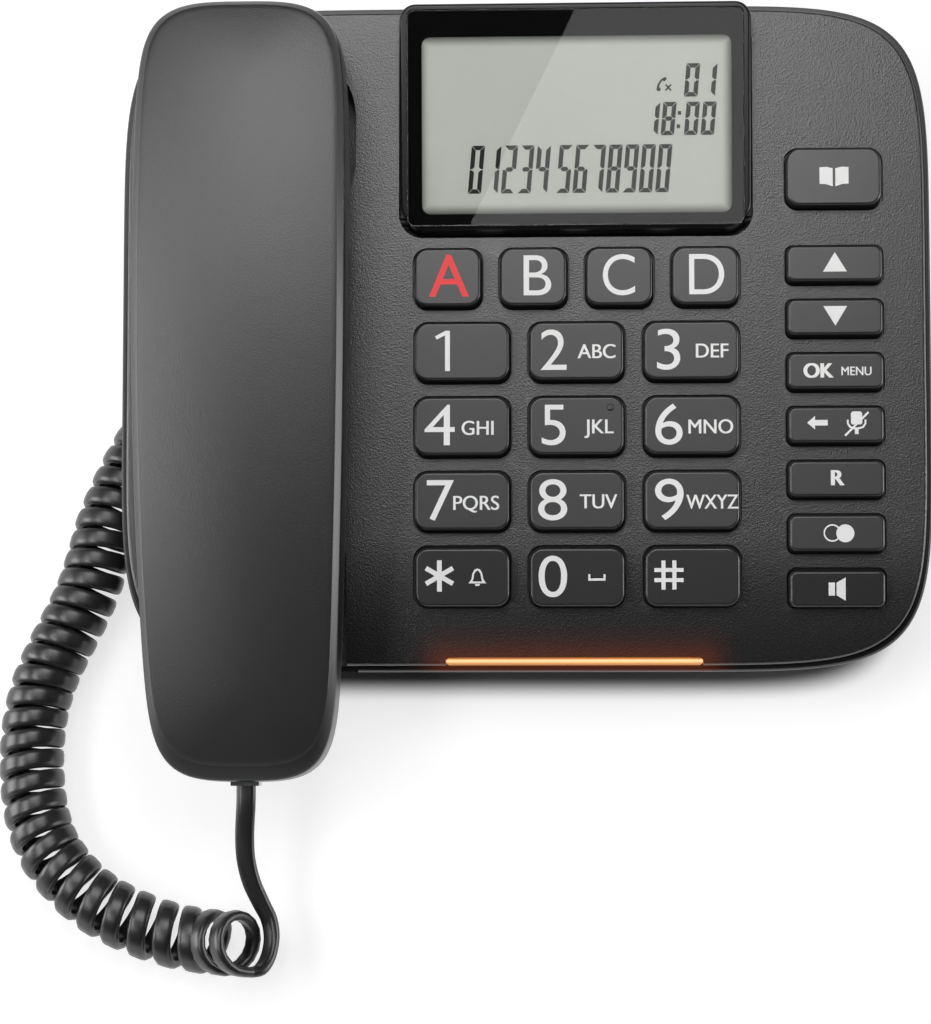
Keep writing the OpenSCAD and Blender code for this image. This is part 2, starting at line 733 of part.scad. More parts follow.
// One key: cap with a draft and a rounded edge, retaining flange and stem.
// Keys on the bend of the deck are lower and slope with it.
module push_key(k) {
    w = k[3] - 2 * key_gap;
    l = k[4] - 2 * key_gap;
    r = k[5] - key_gap;
    low_w = deck_w(k[2] - k[4] / 2 - flange_w - 2 * key_gap);
    mid_w = deck_w(k[2]);
    slope = 1.2 * asin(max(0, -k[2] - bend_start) / bend_r);
    flange_top = low_w - wall - slack;
    stem_end = membrane_w + key_travel + slack;
    color("#333437") deck() translate([k[1], k[2], 0]) {
        hull() {
            translate([0, 0, flange_top - 0.5]) linear_extrude(0.1) rounded(w, l, r, $fn = 24);
            translate([0, 0, mid_w]) rotate([slope, 0, 0]) {
                translate([0, 0, key_h - key_round - 0.1]) linear_extrude(0.1)
                    rounded(w - 2 * key_draft, l - 2 * key_draft, r - key_draft / 2, $fn = 24);
                translate([0, 0, key_h - 0.1]) linear_extrude(0.1)
                    rounded(w - 2 * key_draft - 2 * key_round, l - 2 * key_draft - 2 * key_round,
                            max(0.4, r - key_draft - key_round), $fn = 24);
            }
        }
        translate([0, 0, flange_top - flange_t]) linear_extrude(flange_t)
            rounded(w + 2 * (key_gap + flange_w), l + 2 * (key_gap + flange_w), r);
        translate([0, 0, stem_end]) cylinder(r = stem_r, h = flange_top - 0.2 - stem_end, $fn = 32);
        if (k[0] == "key_5")
            translate([w / 2 - 4, l / 2 - 3.4, mid_w + key_h - 0.4]) cylinder(r1 = 0.8, r2 = 0.5, h = 0.75);
    }
}

// Handset plan and side profile, v along its length
hs_stations = concat(
    [-0.9995, -0.996, -0.985, -0.965, -0.935, -0.9, -0.855],
    [for (i = [-14 : 14]) i * 0.8 / 14],
    [0.855, 0.9, 0.935, 0.965, 0.985, 0.996, 0.9995]);
hs_n = len(hs_stations);
hs_partner = [for (j = [0 : hs_n - 1]) [j, 2 * hs_n - 1 - j]];
function hs_half(v) = hs_w / 2 - hs_curve * pow(v - 15, 2);
function hs_spine(v) = hs_top - hs_drop * pow((v - hs_high_v) / hs_reach, 2);
function hs_crease(v) = hs_spine(v) - hs_crown;
function hs_seam_w(v) = hs_spine(v) - hs_part;
// Underside: grip in the middle, flat under the ear, bulge at the mouth
function hs_under(v) = grip_gap
    - (grip_gap - 1.2) * smooth(v, 10, 26)
    - (grip_gap + mouth_depth - slack) * smooth(hs_front_v + 74.6 - v, 0, 16)
    + 5 * smooth(hs_front_v + 14.6 - v, 0, 15);
// The underside of the mouth end is narrower, so that it drops into its rest
function hs_ring(side, front, rear, height, mouth = 0) = [for (j = [0 : 2 * hs_n - 1])
    let (right = j < hs_n, t = hs_stations[right ? j : 2 * hs_n - 1 - j],
         v = lerp(hs_front_v + front, hs_rear_v - rear, (t + 1) / 2),
         x = (hs_half(v) - side - mouth * smooth(hs_front_v + 82.6 - v, 0, 16)) * pow(1 - pow(abs(t), 14), 0.29))
    [cradle_x + (right ? x : -x), v, height(v)]];
// Ring on the crowned back, k = 1 at the crease and 0 on the centre line
function hs_back_ring(k, drop) = hs_ring(
    lerp(hs_w / 2, hs_side, k), lerp(28, hs_side_front, k), lerp(26, hs_side_rear, k),
    function (v) hs_crease(v) + hs_crown * (1 - k * k) - drop);
// Ring on the underside, k = 1 at its edge
function hs_under_ring(k, lift) = hs_ring(
    lerp(hs_w / 2, 3.4, k), lerp(28, 6, k), lerp(26, 3.4, k), function (v) hs_under(v) + lift, k * 0.8);

outer_cover_rings = [
    hs_back_ring(0.12, hs_wall),
    hs_back_ring(0.6, hs_wall),
    hs_back_ring(0.93, hs_wall),
    hs_ring(hs_wall + 0.6, hs_wall + 1, hs_wall + 0.8, function (v) hs_crease(v) - 4.5),
    hs_ring(hs_wall, hs_wall, hs_wall, function (v) hs_seam_w(v) + hs_seam),
    hs_ring(0, 0, 0, function (v) hs_seam_w(v) + hs_seam),
    hs_ring(0.4, 0.4, 0.4, function (v) hs_crease(v) - 3.2),
    hs_ring(1.1, 2.2, 1.2, function (v) hs_crease(v) - 1.3),
    hs_back_ring(1, 0),
    hs_back_ring(0.8, 0),
    hs_back_ring(0.55, 0),
    hs_back_ring(0.3, 0),
    hs_back_ring(0.12, 0)];

inner_cover_rings = [
    hs_under_ring(0.12, 0),
    hs_under_ring(0.6, 0),
    hs_under_ring(1, 0.4),
    hs_ring(1.7, 2.6, 1.7, function (v) hs_under(v) + 2.8, 0.9),
    hs_ring(0.5, 0.6, 0.5, function (v) min(hs_under(v) + 8.3, hs_seam_w(v) - 1.5), 1),
    hs_ring(0, 0, 0, function (v) hs_seam_w(v) - hs_seam),
    hs_ring(hs_wall, hs_wall, hs_wall, function (v) hs_seam_w(v) - hs_seam),
    hs_ring(hs_wall + 1.3, hs_wall + 2, hs_wall + 1.3,
        function (v) min(hs_under(v) + hs_wall + 4, hs_seam_w(v) - 1), 0.9),
    hs_under_ring(0.9, hs_wall),
    hs_under_ring(0.5, hs_wall),
    hs_under_ring(0.12, hs_wall)];

hs_screw_v = [6, -40];
hs_screw_head = 3;
cup_floor = 2;
sound_r = 1.1;
mic_v = hs_front_v + 24.6;
hs_plug_w = 4;
hs_socket_v = hs_front_v + 7.6;
hs_plug_v = [hs_front_v - 1, hs_front_v + 13.2];

module cord_notch() {
    translate([cradle_x - plug_w / 2 - 0.5, hs_front_v - 4, hs_plug_w - plug_h / 2 - 0.5])
        cube([plug_w + 1, 16, plug_h + 1]);
}

module handset_outer_cover() {
    color("#3f4042") deck() difference() {
        union() {
            loft(outer_cover_rings, hs_partner);
            for (v = hs_screw_v)
                translate([cradle_x, v, hs_seam_w(v) + hs_seam + 0.2])
                    cylinder(r = 3, h = hs_part - hs_wall + 0.6);
        }
        cord_notch();
        for (v = hs_screw_v)
            translate([cradle_x, v, hs_seam_w(v) - 1]) cylinder(r = screw_r - 0.05, h = 9.2);
    }
}

module handset_inner_cover() {
    cup_top = 1.2 + hs_wall / 2;
    color("#37383a") deck() difference() {
        union() {
            loft(inner_cover_rings, hs_partner);
            translate([cradle_x, cup_v, slack - ear_depth]) {
                cylinder(d1 = cup_d - 2, d2 = cup_d, h = 1);
                translate([0, 0, 1]) cylinder(d1 = cup_d, d2 = cup_d + 3, h = cup_top + ear_depth - slack - 1);
            }
            for (v = hs_screw_v)
                translate([cradle_x, v, hs_under(v) + 0.2])
                    cylinder(r = 4.4, h = hs_seam_w(v) - hs_seam - 0.1 - hs_under(v) - 0.2);
            translate([cradle_x, mic_v, hs_under(mic_v) + 1]) cylinder(r = 6.6, h = 4);
        }
        translate([cradle_x, cup_v, slack - ear_depth + cup_floor]) cylinder(d = cup_d - 7, h = 30);
        for (n = [0 : 2])
            for (a = [0 : 1 : max(0, 6 * n - 1)])
                translate([cradle_x, cup_v, -ear_depth]) rotate(a * 60 / max(1, n))
                    translate([4.5 * n, 0, 0]) cylinder(r = sound_r, h = 4, $fn = 16);
        translate([cradle_x, mic_v, hs_under(mic_v) + hs_wall]) cylinder(r = 5.1, h = 20);
        for (n = [-1 : 1])
            translate([cradle_x + 3 * n, mic_v, hs_under(mic_v) - 1]) cylinder(r = 0.8, h = 6, $fn = 16);
        for (v = hs_screw_v) {
            translate([cradle_x, v, hs_under(v) - 1]) cylinder(r = hs_screw_head + 0.2, h = 3.4);
            translate([cradle_x, v, hs_under(v) - 1]) cylinder(r = screw_r + 0.1, h = 14);
        }
        cord_notch();
    }
}

module receiver_capsule() {
    color("#6d7074") deck() translate([cradle_x, cup_v, slack - ear_depth + cup_floor + 0.2]) {
        cylinder(d = cup_d - 7.4, h = 5);
        translate([0, 0, 5]) cylinder(d1 = cup_d - 12, d2 = cup_d - 20, h = 3);
    }
}

module microphone_capsule() {
    color("#b5b8bb") deck() translate([cradle_x, mic_v, hs_under(mic_v) + hs_wall + 0.1]) cylinder(r = 4.9, h = 4.5);
}

module handset_weight() {
    color("#7d8084") deck() translate([cradle_x, -17, grip_gap + hs_wall + 0.1]) linear_extrude(4.6) rounded(26, 34, 2);
}

module handset_screws() {
    color("#8f9296") deck() for (v = hs_screw_v) translate([cradle_x, v, hs_under(v) + 0.6]) difference() {
        union() {
            cylinder(r = hs_screw_head, h = 1.7);
            cylinder(r = screw_r - 0.1, h = 13);
        }
        for (a = [0, 90]) rotate(a) cube([3.2, 0.7, 1.6], center = true);
    }
}

module handset_cord_socket() {
    color("#151617") deck() translate([cradle_x, hs_socket_v, hs_plug_w]) plug_socket(8, 2.4);
}

module handset_plug() {
    color("#d8dadc") deck() translate([cradle_x, hs_plug_v[0], hs_plug_w]) plug(hs_plug_v[1] - hs_plug_v[0]);
}

// Smooth curve through hand-chosen points, u counts the points
function spline(pts, u) = let (
    n = len(pts), i = max(0, min(n - 2, floor(u))), t = u - i,
    p0 = pts[max(0, i - 1)], p1 = pts[i], p2 = pts[i + 1], p3 = pts[min(n - 1, i + 2)])
    0.5 * (2 * p1 + (p2 - p0) * t + (2 * p0 - 5 * p1 + 4 * p2 - p3) * t * t
        + (3 * p1 - p0 - 3 * p2 + p3) * t * t * t);
function heading(pts, u) = let (d = 0.02, n = len(pts) - 1)
    unit(spline(pts, min(n, u + d)) - spline(pts, max(0, u - d)));

// Section of the flat cord: six sides in the curls, eight on the straight runs
flat6 = [[0.5, 0], [0.28, 0.5], [-0.28, 0.5], [-0.5, 0], [-0.28, -0.5], [0.28, -0.5]];
flat8 = [[0.5, 0.2], [0.36, 0.5], [-0.36, 0.5], [-0.5, 0.2], [-0.5, -0.2], [-0.36, -0.5], [0.36, -0.5], [0.5, -0.2]];
function section(form, p, along, wide) = let (ex = unit(wide - (wide * along) * along), ey = cross(along, ex))
    [for (q = form) p + ex * q.x * cord_w + ey * q.y * cord_t];

// The curls leave the centre line over the first part turn and then keep their radius
curl_r = (curl_d - cord_t) / 2;
coil_steps = curls * curl_steps;
coil_end_u = len(coil_points) - 1;
function curl_point(k) = let (
    u = coil_end_u * k / coil_steps, c = spline(coil_points, u), t = heading(coil_points, u),
    side = unit(cross([0, 0, 1], t)), up = cross(t, side),
    a = coil_start_turn + 360 * k / curl_steps, r = curl_r * smooth(k, 0, 7))
    c + (side * cos(a) + up * sin(a)) * r;
function curl_wide(k) = let (s = smooth(k, 0, 7))
    unit(heading(coil_points, coil_end_u * k / coil_steps) * s + [0, 0, 1] * (1 - s) * (1 - s));
coil_start_dir = heading(coil_points, 0);
coil_end_dir = unit(curl_point(coil_steps) - curl_point(coil_steps - 0.1));
coil_path = concat(
    [curl_point(0) - coil_start_dir * cord_w],
    [for (k = [0 : coil_steps]) curl_point(k)],
    [curl_point(coil_steps) + coil_end_dir * cord_t]);
coil_wide = concat([[0, 0, 1]], [for (k = [0 : coil_steps]) curl_wide(k)], [curl_wide(coil_steps)]);
function path_dir(path, i) = unit(path[min(len(path) - 1, i + 1)] - path[max(0, i - 1)]);
function swept_rings(form, path, wide, first_dir, last_dir) = [for (i = [0 : len(path) - 1])
    section(form, path[i],
        i == 0 ? first_dir : i == len(path) - 1 ? last_dir : path_dir(path, i), wide[i])];
coil_rings = swept_rings(flat6, coil_path, coil_wide, coil_start_dir, coil_end_dir);

// Least gap between a curl and the curls beside it, measured on the points of the section
function ring_gap(a, b) = min([for (p = coil_rings[a]) for (q = coil_rings[b]) norm(p - q)]);
curl_gap = min([for (i = [8 : 2 : len(coil_rings) - 8])
    for (j = [i + 5 : i + 11]) if (j < len(coil_rings)) ring_gap(i, j)]);
echo(least_gap_between_curls = curl_gap);

// Straight runs leave their plug squarely, pass through their own points and end square on the coil
function run_path(pts, steps) = [for (i = [0 : steps]) spline(pts, (len(pts) - 1) * i / steps)];
coil_exit = coil_path[len(coil_path) - 1];
base_plug_exit = [base_plug_x, base_plug_y[0], base_plug_z];
hand_plug_exit = on_deck([cradle_x, hs_plug_v[0], hs_plug_w]);
hand_plug_dir = on_deck([0, -1, 0]) - on_deck([0, 0, 0]);
hand_run = 26;
base_run = 10;
hand_tail_path = run_path(
    concat([hand_plug_exit, hand_plug_exit + hand_plug_dir * cord_w], hand_tail_points, [coil_exit]), hand_run);
base_tail_path = run_path(concat([base_plug_exit], base_tail_points, [coil_path[0]]), base_run);
hand_tail_wide = [for (i = [0 : hand_run]) let (s = smooth(i, 3, 20))
    unit([1 - s, 0, 0] + coil_wide[len(coil_wide) - 1] * s)];
base_tail_wide = [for (i = [0 : base_run]) let (s = smooth(i, 2, 9)) unit([1 - s, 0, s])];

module cord_coil() {
    color("#1d1e20") from_mid() tube(coil_rings);
}
module cord_handset_tail() {
    color("#1d1e20") from_mid() tube(swept_rings(flat8, hand_tail_path, hand_tail_wide, hand_plug_dir, -coil_end_dir));
}
module cord_base_tail() {
    color("#1d1e20") from_mid() tube(swept_rings(flat8, base_tail_path, base_tail_wide, [0, -1, 0], coil_start_dir));
}

base_upper_shell();
base_lower_shell();
rubber_feet();
base_screws();
main_board();
keypad_membrane();
loudspeaker();
light_bar();
light_board();
hook_plunger();
hook_switch();
base_cord_socket();
line_socket();
ballast_plate();
display_frame();
display_rear_cover();
display_window();
screen_panel();
display_board();
display_hinge_pins();
for (k = keys)
    push_key(k);
handset_outer_cover();
handset_inner_cover();
receiver_capsule();
microphone_capsule();
handset_weight();
handset_screws();
handset_cord_socket();
handset_plug();
base_plug();
cord_coil();
cord_handset_tail();
cord_base_tail();
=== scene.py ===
import math

import bmesh
import bpy
from mathutils import Matrix, Vector


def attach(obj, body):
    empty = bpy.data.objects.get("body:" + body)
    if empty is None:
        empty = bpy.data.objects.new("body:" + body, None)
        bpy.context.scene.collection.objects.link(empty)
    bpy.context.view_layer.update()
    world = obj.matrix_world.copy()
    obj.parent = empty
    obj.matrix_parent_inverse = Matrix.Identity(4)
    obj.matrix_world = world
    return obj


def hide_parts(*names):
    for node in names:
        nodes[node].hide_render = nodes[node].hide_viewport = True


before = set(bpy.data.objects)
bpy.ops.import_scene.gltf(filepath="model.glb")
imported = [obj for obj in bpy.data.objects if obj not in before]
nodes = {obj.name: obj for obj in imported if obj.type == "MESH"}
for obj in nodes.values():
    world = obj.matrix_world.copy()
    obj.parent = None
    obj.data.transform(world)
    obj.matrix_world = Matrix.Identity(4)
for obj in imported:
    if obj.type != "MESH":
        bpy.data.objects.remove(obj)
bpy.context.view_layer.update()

# Every piece is modelled in millimetres on the sloping deck: x right, v up the slope, w square to it.
mm = 0.001
deck = {"tilt": 9.0, "height": 42.0, "midY": 14.674}
flatPlace = Matrix.Scale(mm, 4)
midPlace = flatPlace @ Matrix.Translation((0, deck["midY"], 0))
deckPlace = (flatPlace @ Matrix.Translation((0, deck["midY"], deck["height"]))
             @ Matrix.Rotation(math.radians(deck["tilt"]), 4, "X"))


# Small modelling helpers
def only(piece):
    bpy.ops.object.select_all(action="DESELECT")
    piece.select_set(True)
    bpy.context.view_layer.objects.active = piece
    return piece


def newest(name):
    piece = bpy.context.object
    piece.name = name
    piece.data.name = name
    return piece


def applied(piece):
    only(piece)
    bpy.ops.object.transform_apply(location=True, rotation=True, scale=True)
    return piece


def openUp(piece):
    only(piece)
    bpy.ops.object.mode_set(mode="EDIT")


def closeUp():
    bpy.ops.object.mode_set(mode="OBJECT")


def pickAll():
    bpy.ops.mesh.select_all(action="SELECT")


def pick(piece, kind, test):
    bpy.ops.mesh.select_mode(type=kind)
    bpy.ops.mesh.select_all(action="DESELECT")
    shape = bmesh.from_edit_mesh(piece.data)
    for part in {"VERT": shape.verts, "EDGE": shape.edges, "FACE": shape.faces}[kind]:
        if test(part):
            part.select_set(True)
    shape.select_flush_mode()
    bmesh.update_edit_mesh(piece.data)


def isUpright(edge):
    run = edge.verts[1].co - edge.verts[0].co
    return abs(run.z) > 0.99 * run.length


def facesUp(face):
    return face.normal.z > 0.9


def facesDown(face):
    return face.normal.z < -0.9


def bevelEdges(width, steps, **settings):
    bpy.ops.mesh.bevel(offset=width, segments=steps, affect="EDGES", **settings)


def pull(rise):
    bpy.ops.mesh.extrude_region_move(TRANSFORM_OT_translate={"value": (0, 0, rise)})


def block(name, size, centre):
    bpy.ops.mesh.primitive_cube_add(size=1, location=centre, scale=size)
    return applied(newest(name))


def roundBlock(name, w, l, r, low, high, centre, steps=8):
    piece = block(name, (w, l, high - low), (centre[0], centre[1], (low + high) / 2))
    openUp(piece)
    pick(piece, "EDGE", isUpright)
    bevelEdges(r, steps)
    closeUp()
    return piece


def rod(name, r, low, high, centre, sides=48):
    middle = (centre[0], centre[1], (low + high) / 2)
    bpy.ops.mesh.primitive_cylinder_add(vertices=sides, radius=r, depth=high - low, location=middle)
    return applied(newest(name))


def joined(name, parts):
    bpy.ops.object.select_all(action="DESELECT")
    for part in parts:
        part.select_set(True)
    bpy.context.view_layer.objects.active = parts[0]
    if len(parts) > 1:
        bpy.ops.object.join()
    return newest(name)


def modified(piece, kind, **settings):
    only(piece)
    change = piece.modifiers.new("change", kind)
    for key, value in settings.items():
        setattr(change, key, value)
    bpy.ops.object.modifier_apply(modifier=change.name)
    return piece


def carve(piece, cutter, how="DIFFERENCE"):
    modified(piece, "BOOLEAN", operation=how, solver="EXACT", object=cutter)
    bpy.data.objects.remove(cutter)
    return piece


def soften(piece, width, steps=2, angle=35):
    return modified(piece, "BEVEL", width=width, segments=steps, limit_method="ANGLE",
                    angle_limit=math.radians(angle), use_clamp_overlap=True)


def smoothOver(piece, angle=30):
    only(piece)
    bpy.ops.object.shade_smooth_by_angle(angle=math.radians(angle))
    return modified(piece, "WEIGHTED_NORMAL", keep_sharp=True)


def sealed(piece):
    openUp(piece)
    bpy.ops.mesh.select_mode(type="EDGE")
    bpy.ops.mesh.select_all(action="DESELECT")
    bpy.ops.mesh.select_non_manifold(extend=False, use_wire=False, use_multi_face=False,
                                     use_non_contiguous=False, use_verts=False)
    bpy.ops.mesh.fill_holes(sides=0)
    pickAll()
    bpy.ops.mesh.normals_make_consistent(inside=False)
    closeUp()
    return piece


def settle(piece, place, materials, body, stands=()):
    piece.matrix_world = place
    applied(piece)
    piece.data.materials.clear()
    for material in materials:
        piece.data.materials.append(material)
    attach(piece, body)
    if stands:
        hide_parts(*stands)
    return piece


def wrapGrid(name, around, along, form):  # a closed skin of rings: form(i, j) gives point i of ring j
    bpy.ops.mesh.primitive_grid_add(x_subdivisions=around, y_subdivisions=along, size=2)
    piece = newest(name)
    for point in piece.data.vertices:
        i = round((point.co.x + 1) / 2 * around)
        j = round((point.co.y + 1) / 2 * along)
        point.co = form(i % around, j)
    openUp(piece)
    pickAll()
    bpy.ops.mesh.remove_doubles(threshold=0.0002)
    closeUp()
    return sealed(piece)


def blendShare(x, low, high):
    t = max(0.0, min(1.0, (x - low) / (high - low)))
    return t * t * (3 - 2 * t)


def lerp(a, b, t):
    return a + (b - a) * t


def power(x, p):
    return math.copysign(abs(x) ** p, x)


# Camera at the photograph's place
camera = {"place": (20.4, -221.63, 824.7), "aim": (-15.9, -32.73, 34.5), "focal": 3012.0, "longSide": 1024.0}
lens = bpy.data.cameras.new("camera")
lens.sensor_width = 36.0
lens.lens = camera["focal"] * lens.sensor_width / camera["longSide"]
lens.clip_start = 0.01
viewer = bpy.data.objects.new("camera", lens)
bpy.context.scene.collection.objects.link(viewer)
forward = (Vector(camera["aim"]) - Vector(camera["place"])).normalized()
slopeUp = Vector((0, math.cos(math.radians(deck["tilt"])), math.sin(math.radians(deck["tilt"]))))
rightward = forward.cross(slopeUp).normalized()
upward = rightward.cross(forward)
viewer.matrix_world = Matrix.Translation(Vector(camera["place"]) * mm) @ Matrix(
    (rightward, upward, -forward)).transposed().to_4x4()
bpy.context.scene.camera = viewer
bpy.context.scene.view_settings.view_transform = "Standard"


# Materials
def tone(code):
    parts = [int(code[k:k + 2], 16) / 255 for k in (1, 3, 5)]
    return tuple(((c + 0.055) / 1.055) ** 2.4 if c > 0.04045 else c / 12.92 for c in parts) + (1.0,)


def plugIn(tree, node, inputs):
    for label, value in inputs.items():
        if isinstance(value, bpy.types.NodeSocket):
            tree.links.new(value, node.inputs[label])
        else:
            node.inputs[label].default_value = value


def addNode(tree, kind, inputs=None, **settings):
    node = tree.nodes.new(kind)
    for key, value in settings.items():
        setattr(node, key, value)
    plugIn(tree, node, inputs or {})
    return node


def doMath(tree, operation, *values, clamp=False):
    return addNode(tree, "ShaderNodeMath", dict(enumerate(values)), operation=operation,
                   use_clamp=clamp).outputs[0]


def ramp(tree, value, low, high, start=0.0, end=1.0, kind="SMOOTHSTEP"):
    limits = {"Value": value, "From Min": low, "From Max": high, "To Min": start, "To Max": end}
    return addNode(tree, "ShaderNodeMapRange", limits, interpolation_type=kind).outputs["Result"]


def blend(tree, share, a, b, kind="MIX"):
    sides = {"Factor": share, "A": a, "B": b}
    return addNode(tree, "ShaderNodeMix", sides, data_type="RGBA", blend_type=kind).outputs["Result"]


def noise(tree, **inputs):
    return addNode(tree, "ShaderNodeTexNoise", inputs, noise_dimensions="3D").outputs["Fac"]


def objectPlace(tree):
    return addNode(tree, "ShaderNodeTexCoord").outputs["Object"]


def axes(tree, vector):
    return addNode(tree, "ShaderNodeSeparateXYZ", {"Vector": vector}).outputs


def shared(tree, group, **inputs):
    return addNode(tree, "ShaderNodeGroup", inputs, node_tree=group).outputs


def newMaterial(name):
    material = bpy.data.materials.new(name)
    material.use_nodes = True
    return material, material.node_tree, material.node_tree.nodes["Principled BSDF"]


def newGroup(name, inputs, outputs):
    group = bpy.data.node_groups.new(name, "ShaderNodeTree")
    group.interface.new_socket(name="Vector", in_out="INPUT", socket_type="NodeSocketVector")
    for label, value in inputs.items():
        socket = group.interface.new_socket(name=label, in_out="INPUT", socket_type="NodeSocketFloat")
        socket.default_value = value
    for label in outputs:
        group.interface.new_socket(name=label, in_out="OUTPUT", socket_type="NodeSocketFloat")
    return group, group.nodes.new("NodeGroupInput").outputs, group.nodes.new("NodeGroupOutput")


def makeGrainGroup():
    group, given, result = newGroup("mouldedGrain", {"Cells": 1100.0, "Pebble": 0.6}, ["Height", "Speckle"])
    scale = doMath(group, "MULTIPLY", given["Cells"], 1.7)
    fine = noise(group, Vector=given["Vector"], Scale=scale, Detail=2.0, Roughness=0.55)
    cells = {"Vector": given["Vector"], "Scale": given["Cells"], "Randomness": 0.9}
    pebble = addNode(group, "ShaderNodeTexVoronoi", cells, feature="F1").outputs["Distance"]
    sides = {"Factor": given["Pebble"], "A": fine, "B": pebble}
    mixed = addNode(group, "ShaderNodeMix", sides, data_type="FLOAT")
    plugIn(group, result, {"Height": mixed.outputs["Result"], "Speckle": fine})
    return group


def makeWearGroup():
    group, given, result = newGroup("handling", {"Patch size": 18.0, "Edge": 0.5}, ["Rubbed", "Haze"])
    bend = ramp(group, addNode(group, "ShaderNodeNewGeometry").outputs["Pointiness"], 0.52, 0.62)
    edge = doMath(group, "MULTIPLY", bend, noise(group, Vector=given["Vector"], Scale=260.0, Detail=3.0))
    haze = noise(group, Vector=given["Vector"], Scale=given["Patch size"], Detail=4.0, Roughness=0.6)
    rubbed = doMath(group, "MULTIPLY", edge, given["Edge"], clamp=True)
    plugIn(group, result, {"Rubbed": rubbed, "Haze": haze})
    return group


# painted light: the light bar's amber glow is painted into the deck and rim as emission near the bar
lampBar = {"x": 13.3, "v": -88.2, "w": -5.0, "length": 69.3, "spill": 5.4, "spillColour": "#803004",
           "down": 0.5, "lineHalf": 0.9}
lampPoint = deckPlace @ Vector((lampBar["x"], lampBar["v"], lampBar["w"]))


# painted light: 1 at the light bar and falling off with distance, for the painted amber glow
def makeSpillGroup():
    group, given, result = newGroup("lampSpill", {}, ["Glow"])
    x, y, z = axes(group, given["Vector"])
    across = doMath(group, "ABSOLUTE", doMath(group, "SUBTRACT", x, lampPoint.x))
    across = doMath(group, "MAXIMUM", doMath(group, "SUBTRACT", across, lampBar["length"] / 2 * mm), 0.0)
    runs = (across, doMath(group, "SUBTRACT", y, lampPoint.y), doMath(group, "SUBTRACT", z, lampPoint.z))
    across, away, down = [doMath(group, "MULTIPLY", run, run) for run in runs]
    level = doMath(group, "ADD", across, away)
    reach = doMath(group, "ADD", level, doMath(group, "MULTIPLY", down, lampBar["down"]))
    near = doMath(group, "DIVIDE", reach, -(lampBar["spill"] * mm) ** 2)
    plugIn(group, result, {"Glow": doMath(group, "EXPONENT", near)})
    return group


grainGroup, wearGroup, spillGroup = makeGrainGroup(), makeWearGroup(), makeSpillGroup()


def mould(name, colour, worn, rough, cells=1100.0, pebble=0.6, depth=0.00006, hazeColour=0.12, hazeRough=0.08,
          edge=0.6, speckle=0.1, coat=0.0, spill=0.0, metal=0.0, specular=0.5):
    material, tree, shader = newMaterial(name)
    where = objectPlace(tree)
    grain = shared(tree, grainGroup, Vector=where, Cells=cells, Pebble=pebble)
    wear = shared(tree, wearGroup, Vector=where, Edge=edge)
    plain = tone(colour)[:3]
    low, high = [tuple(c * share for c in plain) + (1,) for share in (1 - hazeColour, 1 + hazeColour)]
    shade = blend(tree, wear["Haze"], low, high)
    shade = blend(tree, speckle, shade, grain["Speckle"], "OVERLAY")
    shade = blend(tree, wear["Rubbed"], shade, tone(worn))
    shiny, dull = max(0.02, rough - hazeRough), min(1.0, rough + hazeRough)
    gloss = ramp(tree, wear["Haze"], 0.0, 1.0, shiny, dull, "LINEAR")
    bump = addNode(tree, "ShaderNodeBump", {"Distance": depth, "Strength": 1.0, "Height": grain["Height"]})
    plugIn(tree, shader, {"Base Color": shade, "Roughness": gloss, "Normal": bump.outputs["Normal"],
                          "Metallic": metal, "Specular IOR Level": specular, "Coat Weight": coat,
                          "Coat Roughness": 0.2})
    # painted light: the light bar's amber glow added as emission
    if spill:
        glow = shared(tree, spillGroup, Vector=where)["Glow"]
        plugIn(tree, shader, {"Emission Color": blend(tree, glow, (0, 0, 0, 1), tone(lampBar["spillColour"])),
                              "Emission Strength": spill})
    return material


# What several materials share; cells are those of the grain in one metre
sleek = {"cells": 3000, "pebble": 0.2, "hazeRough": 0.04}
shell = {"cells": 2600, "pebble": 0.2, "depth": 0.00001}
coarse = {"pebble": 0.45, "hazeRough": 0.03}
even = {"depth": 0.000002, "edge": 0.0}
printed = {"cells": 5000, "depth": 0.000003, "edge": 0.0, "speckle": 0.04, "hazeColour": 0.02}
# spill paints the light bar's amber glow onto the deck and the rim
deckGrain = mould("deckGrain", "#1a1a1a", "#48484a", 0.3, cells=1900, depth=0.000095, speckle=0.4,
                  specular=0.95, spill=0.3, **coarse)
rimSatin = mould("rimSatin", "#19191a", "#48484a", 0.3, spill=0.3, **shell)
grip = mould("handsetGrain", "#222222", "#525253", 0.39, cells=2200, speckle=0.35, specular=0.9, **coarse)
gripSide = mould("handsetSide", "#1a1a1b", "#4c4c4e", 0.3, specular=0.7, **shell)
keySatin = mould("keySatin", "#1e1e1f", "#5c5c5e", 0.33, depth=0.000008, edge=0.7, specular=0.82, **sleek)
frameGloss = mould("displayFrame", "#111112", "#4a4b4e", 0.25, depth=0.000005, specular=0.4, **sleek)
maskBlack = mould("windowMask", "#040405", "#0a0a0b", 0.6, cells=3000, specular=0.0, **even)
screenGrey = mould("liquidCrystal", "#a4a6a0", "#a4a6a0", 0.6, cells=6000, speckle=0.03, hazeColour=0.02,
                   specular=0.0, **even)
segmentBlack = mould("segments", "#0c0d0c", "#0c0d0c", 0.5, cells=6000, specular=0.2, **even)
legendWhite = mould("legendPrint", "#fafaf9", "#ffffff", 0.5, **printed)
legendRed = mould("legendRed", "#fb3e42", "#f06a6c", 0.5, **printed)
cordSheath = mould("cordSheath", "#1f1f20", "#464648", 0.32, cells=2600, pebble=0.3, depth=0.000015,
                   specular=0.7)
rubber = mould("rubber", "#161617", "#3a3a3b", 0.75, cells=1800, depth=0.00005)
socketBlack = mould("socketBlack", "#101113", "#3c3c3e", 0.45, cells=2600, depth=0.00002)
innerDark = mould("innerMoulding", "#202124", "#4c4d50", 0.6, cells=2000, depth=0.00003)
membraneGrey = mould("membrane", "#55585a", "#7d8082", 0.7, cells=2200, depth=0.00003)
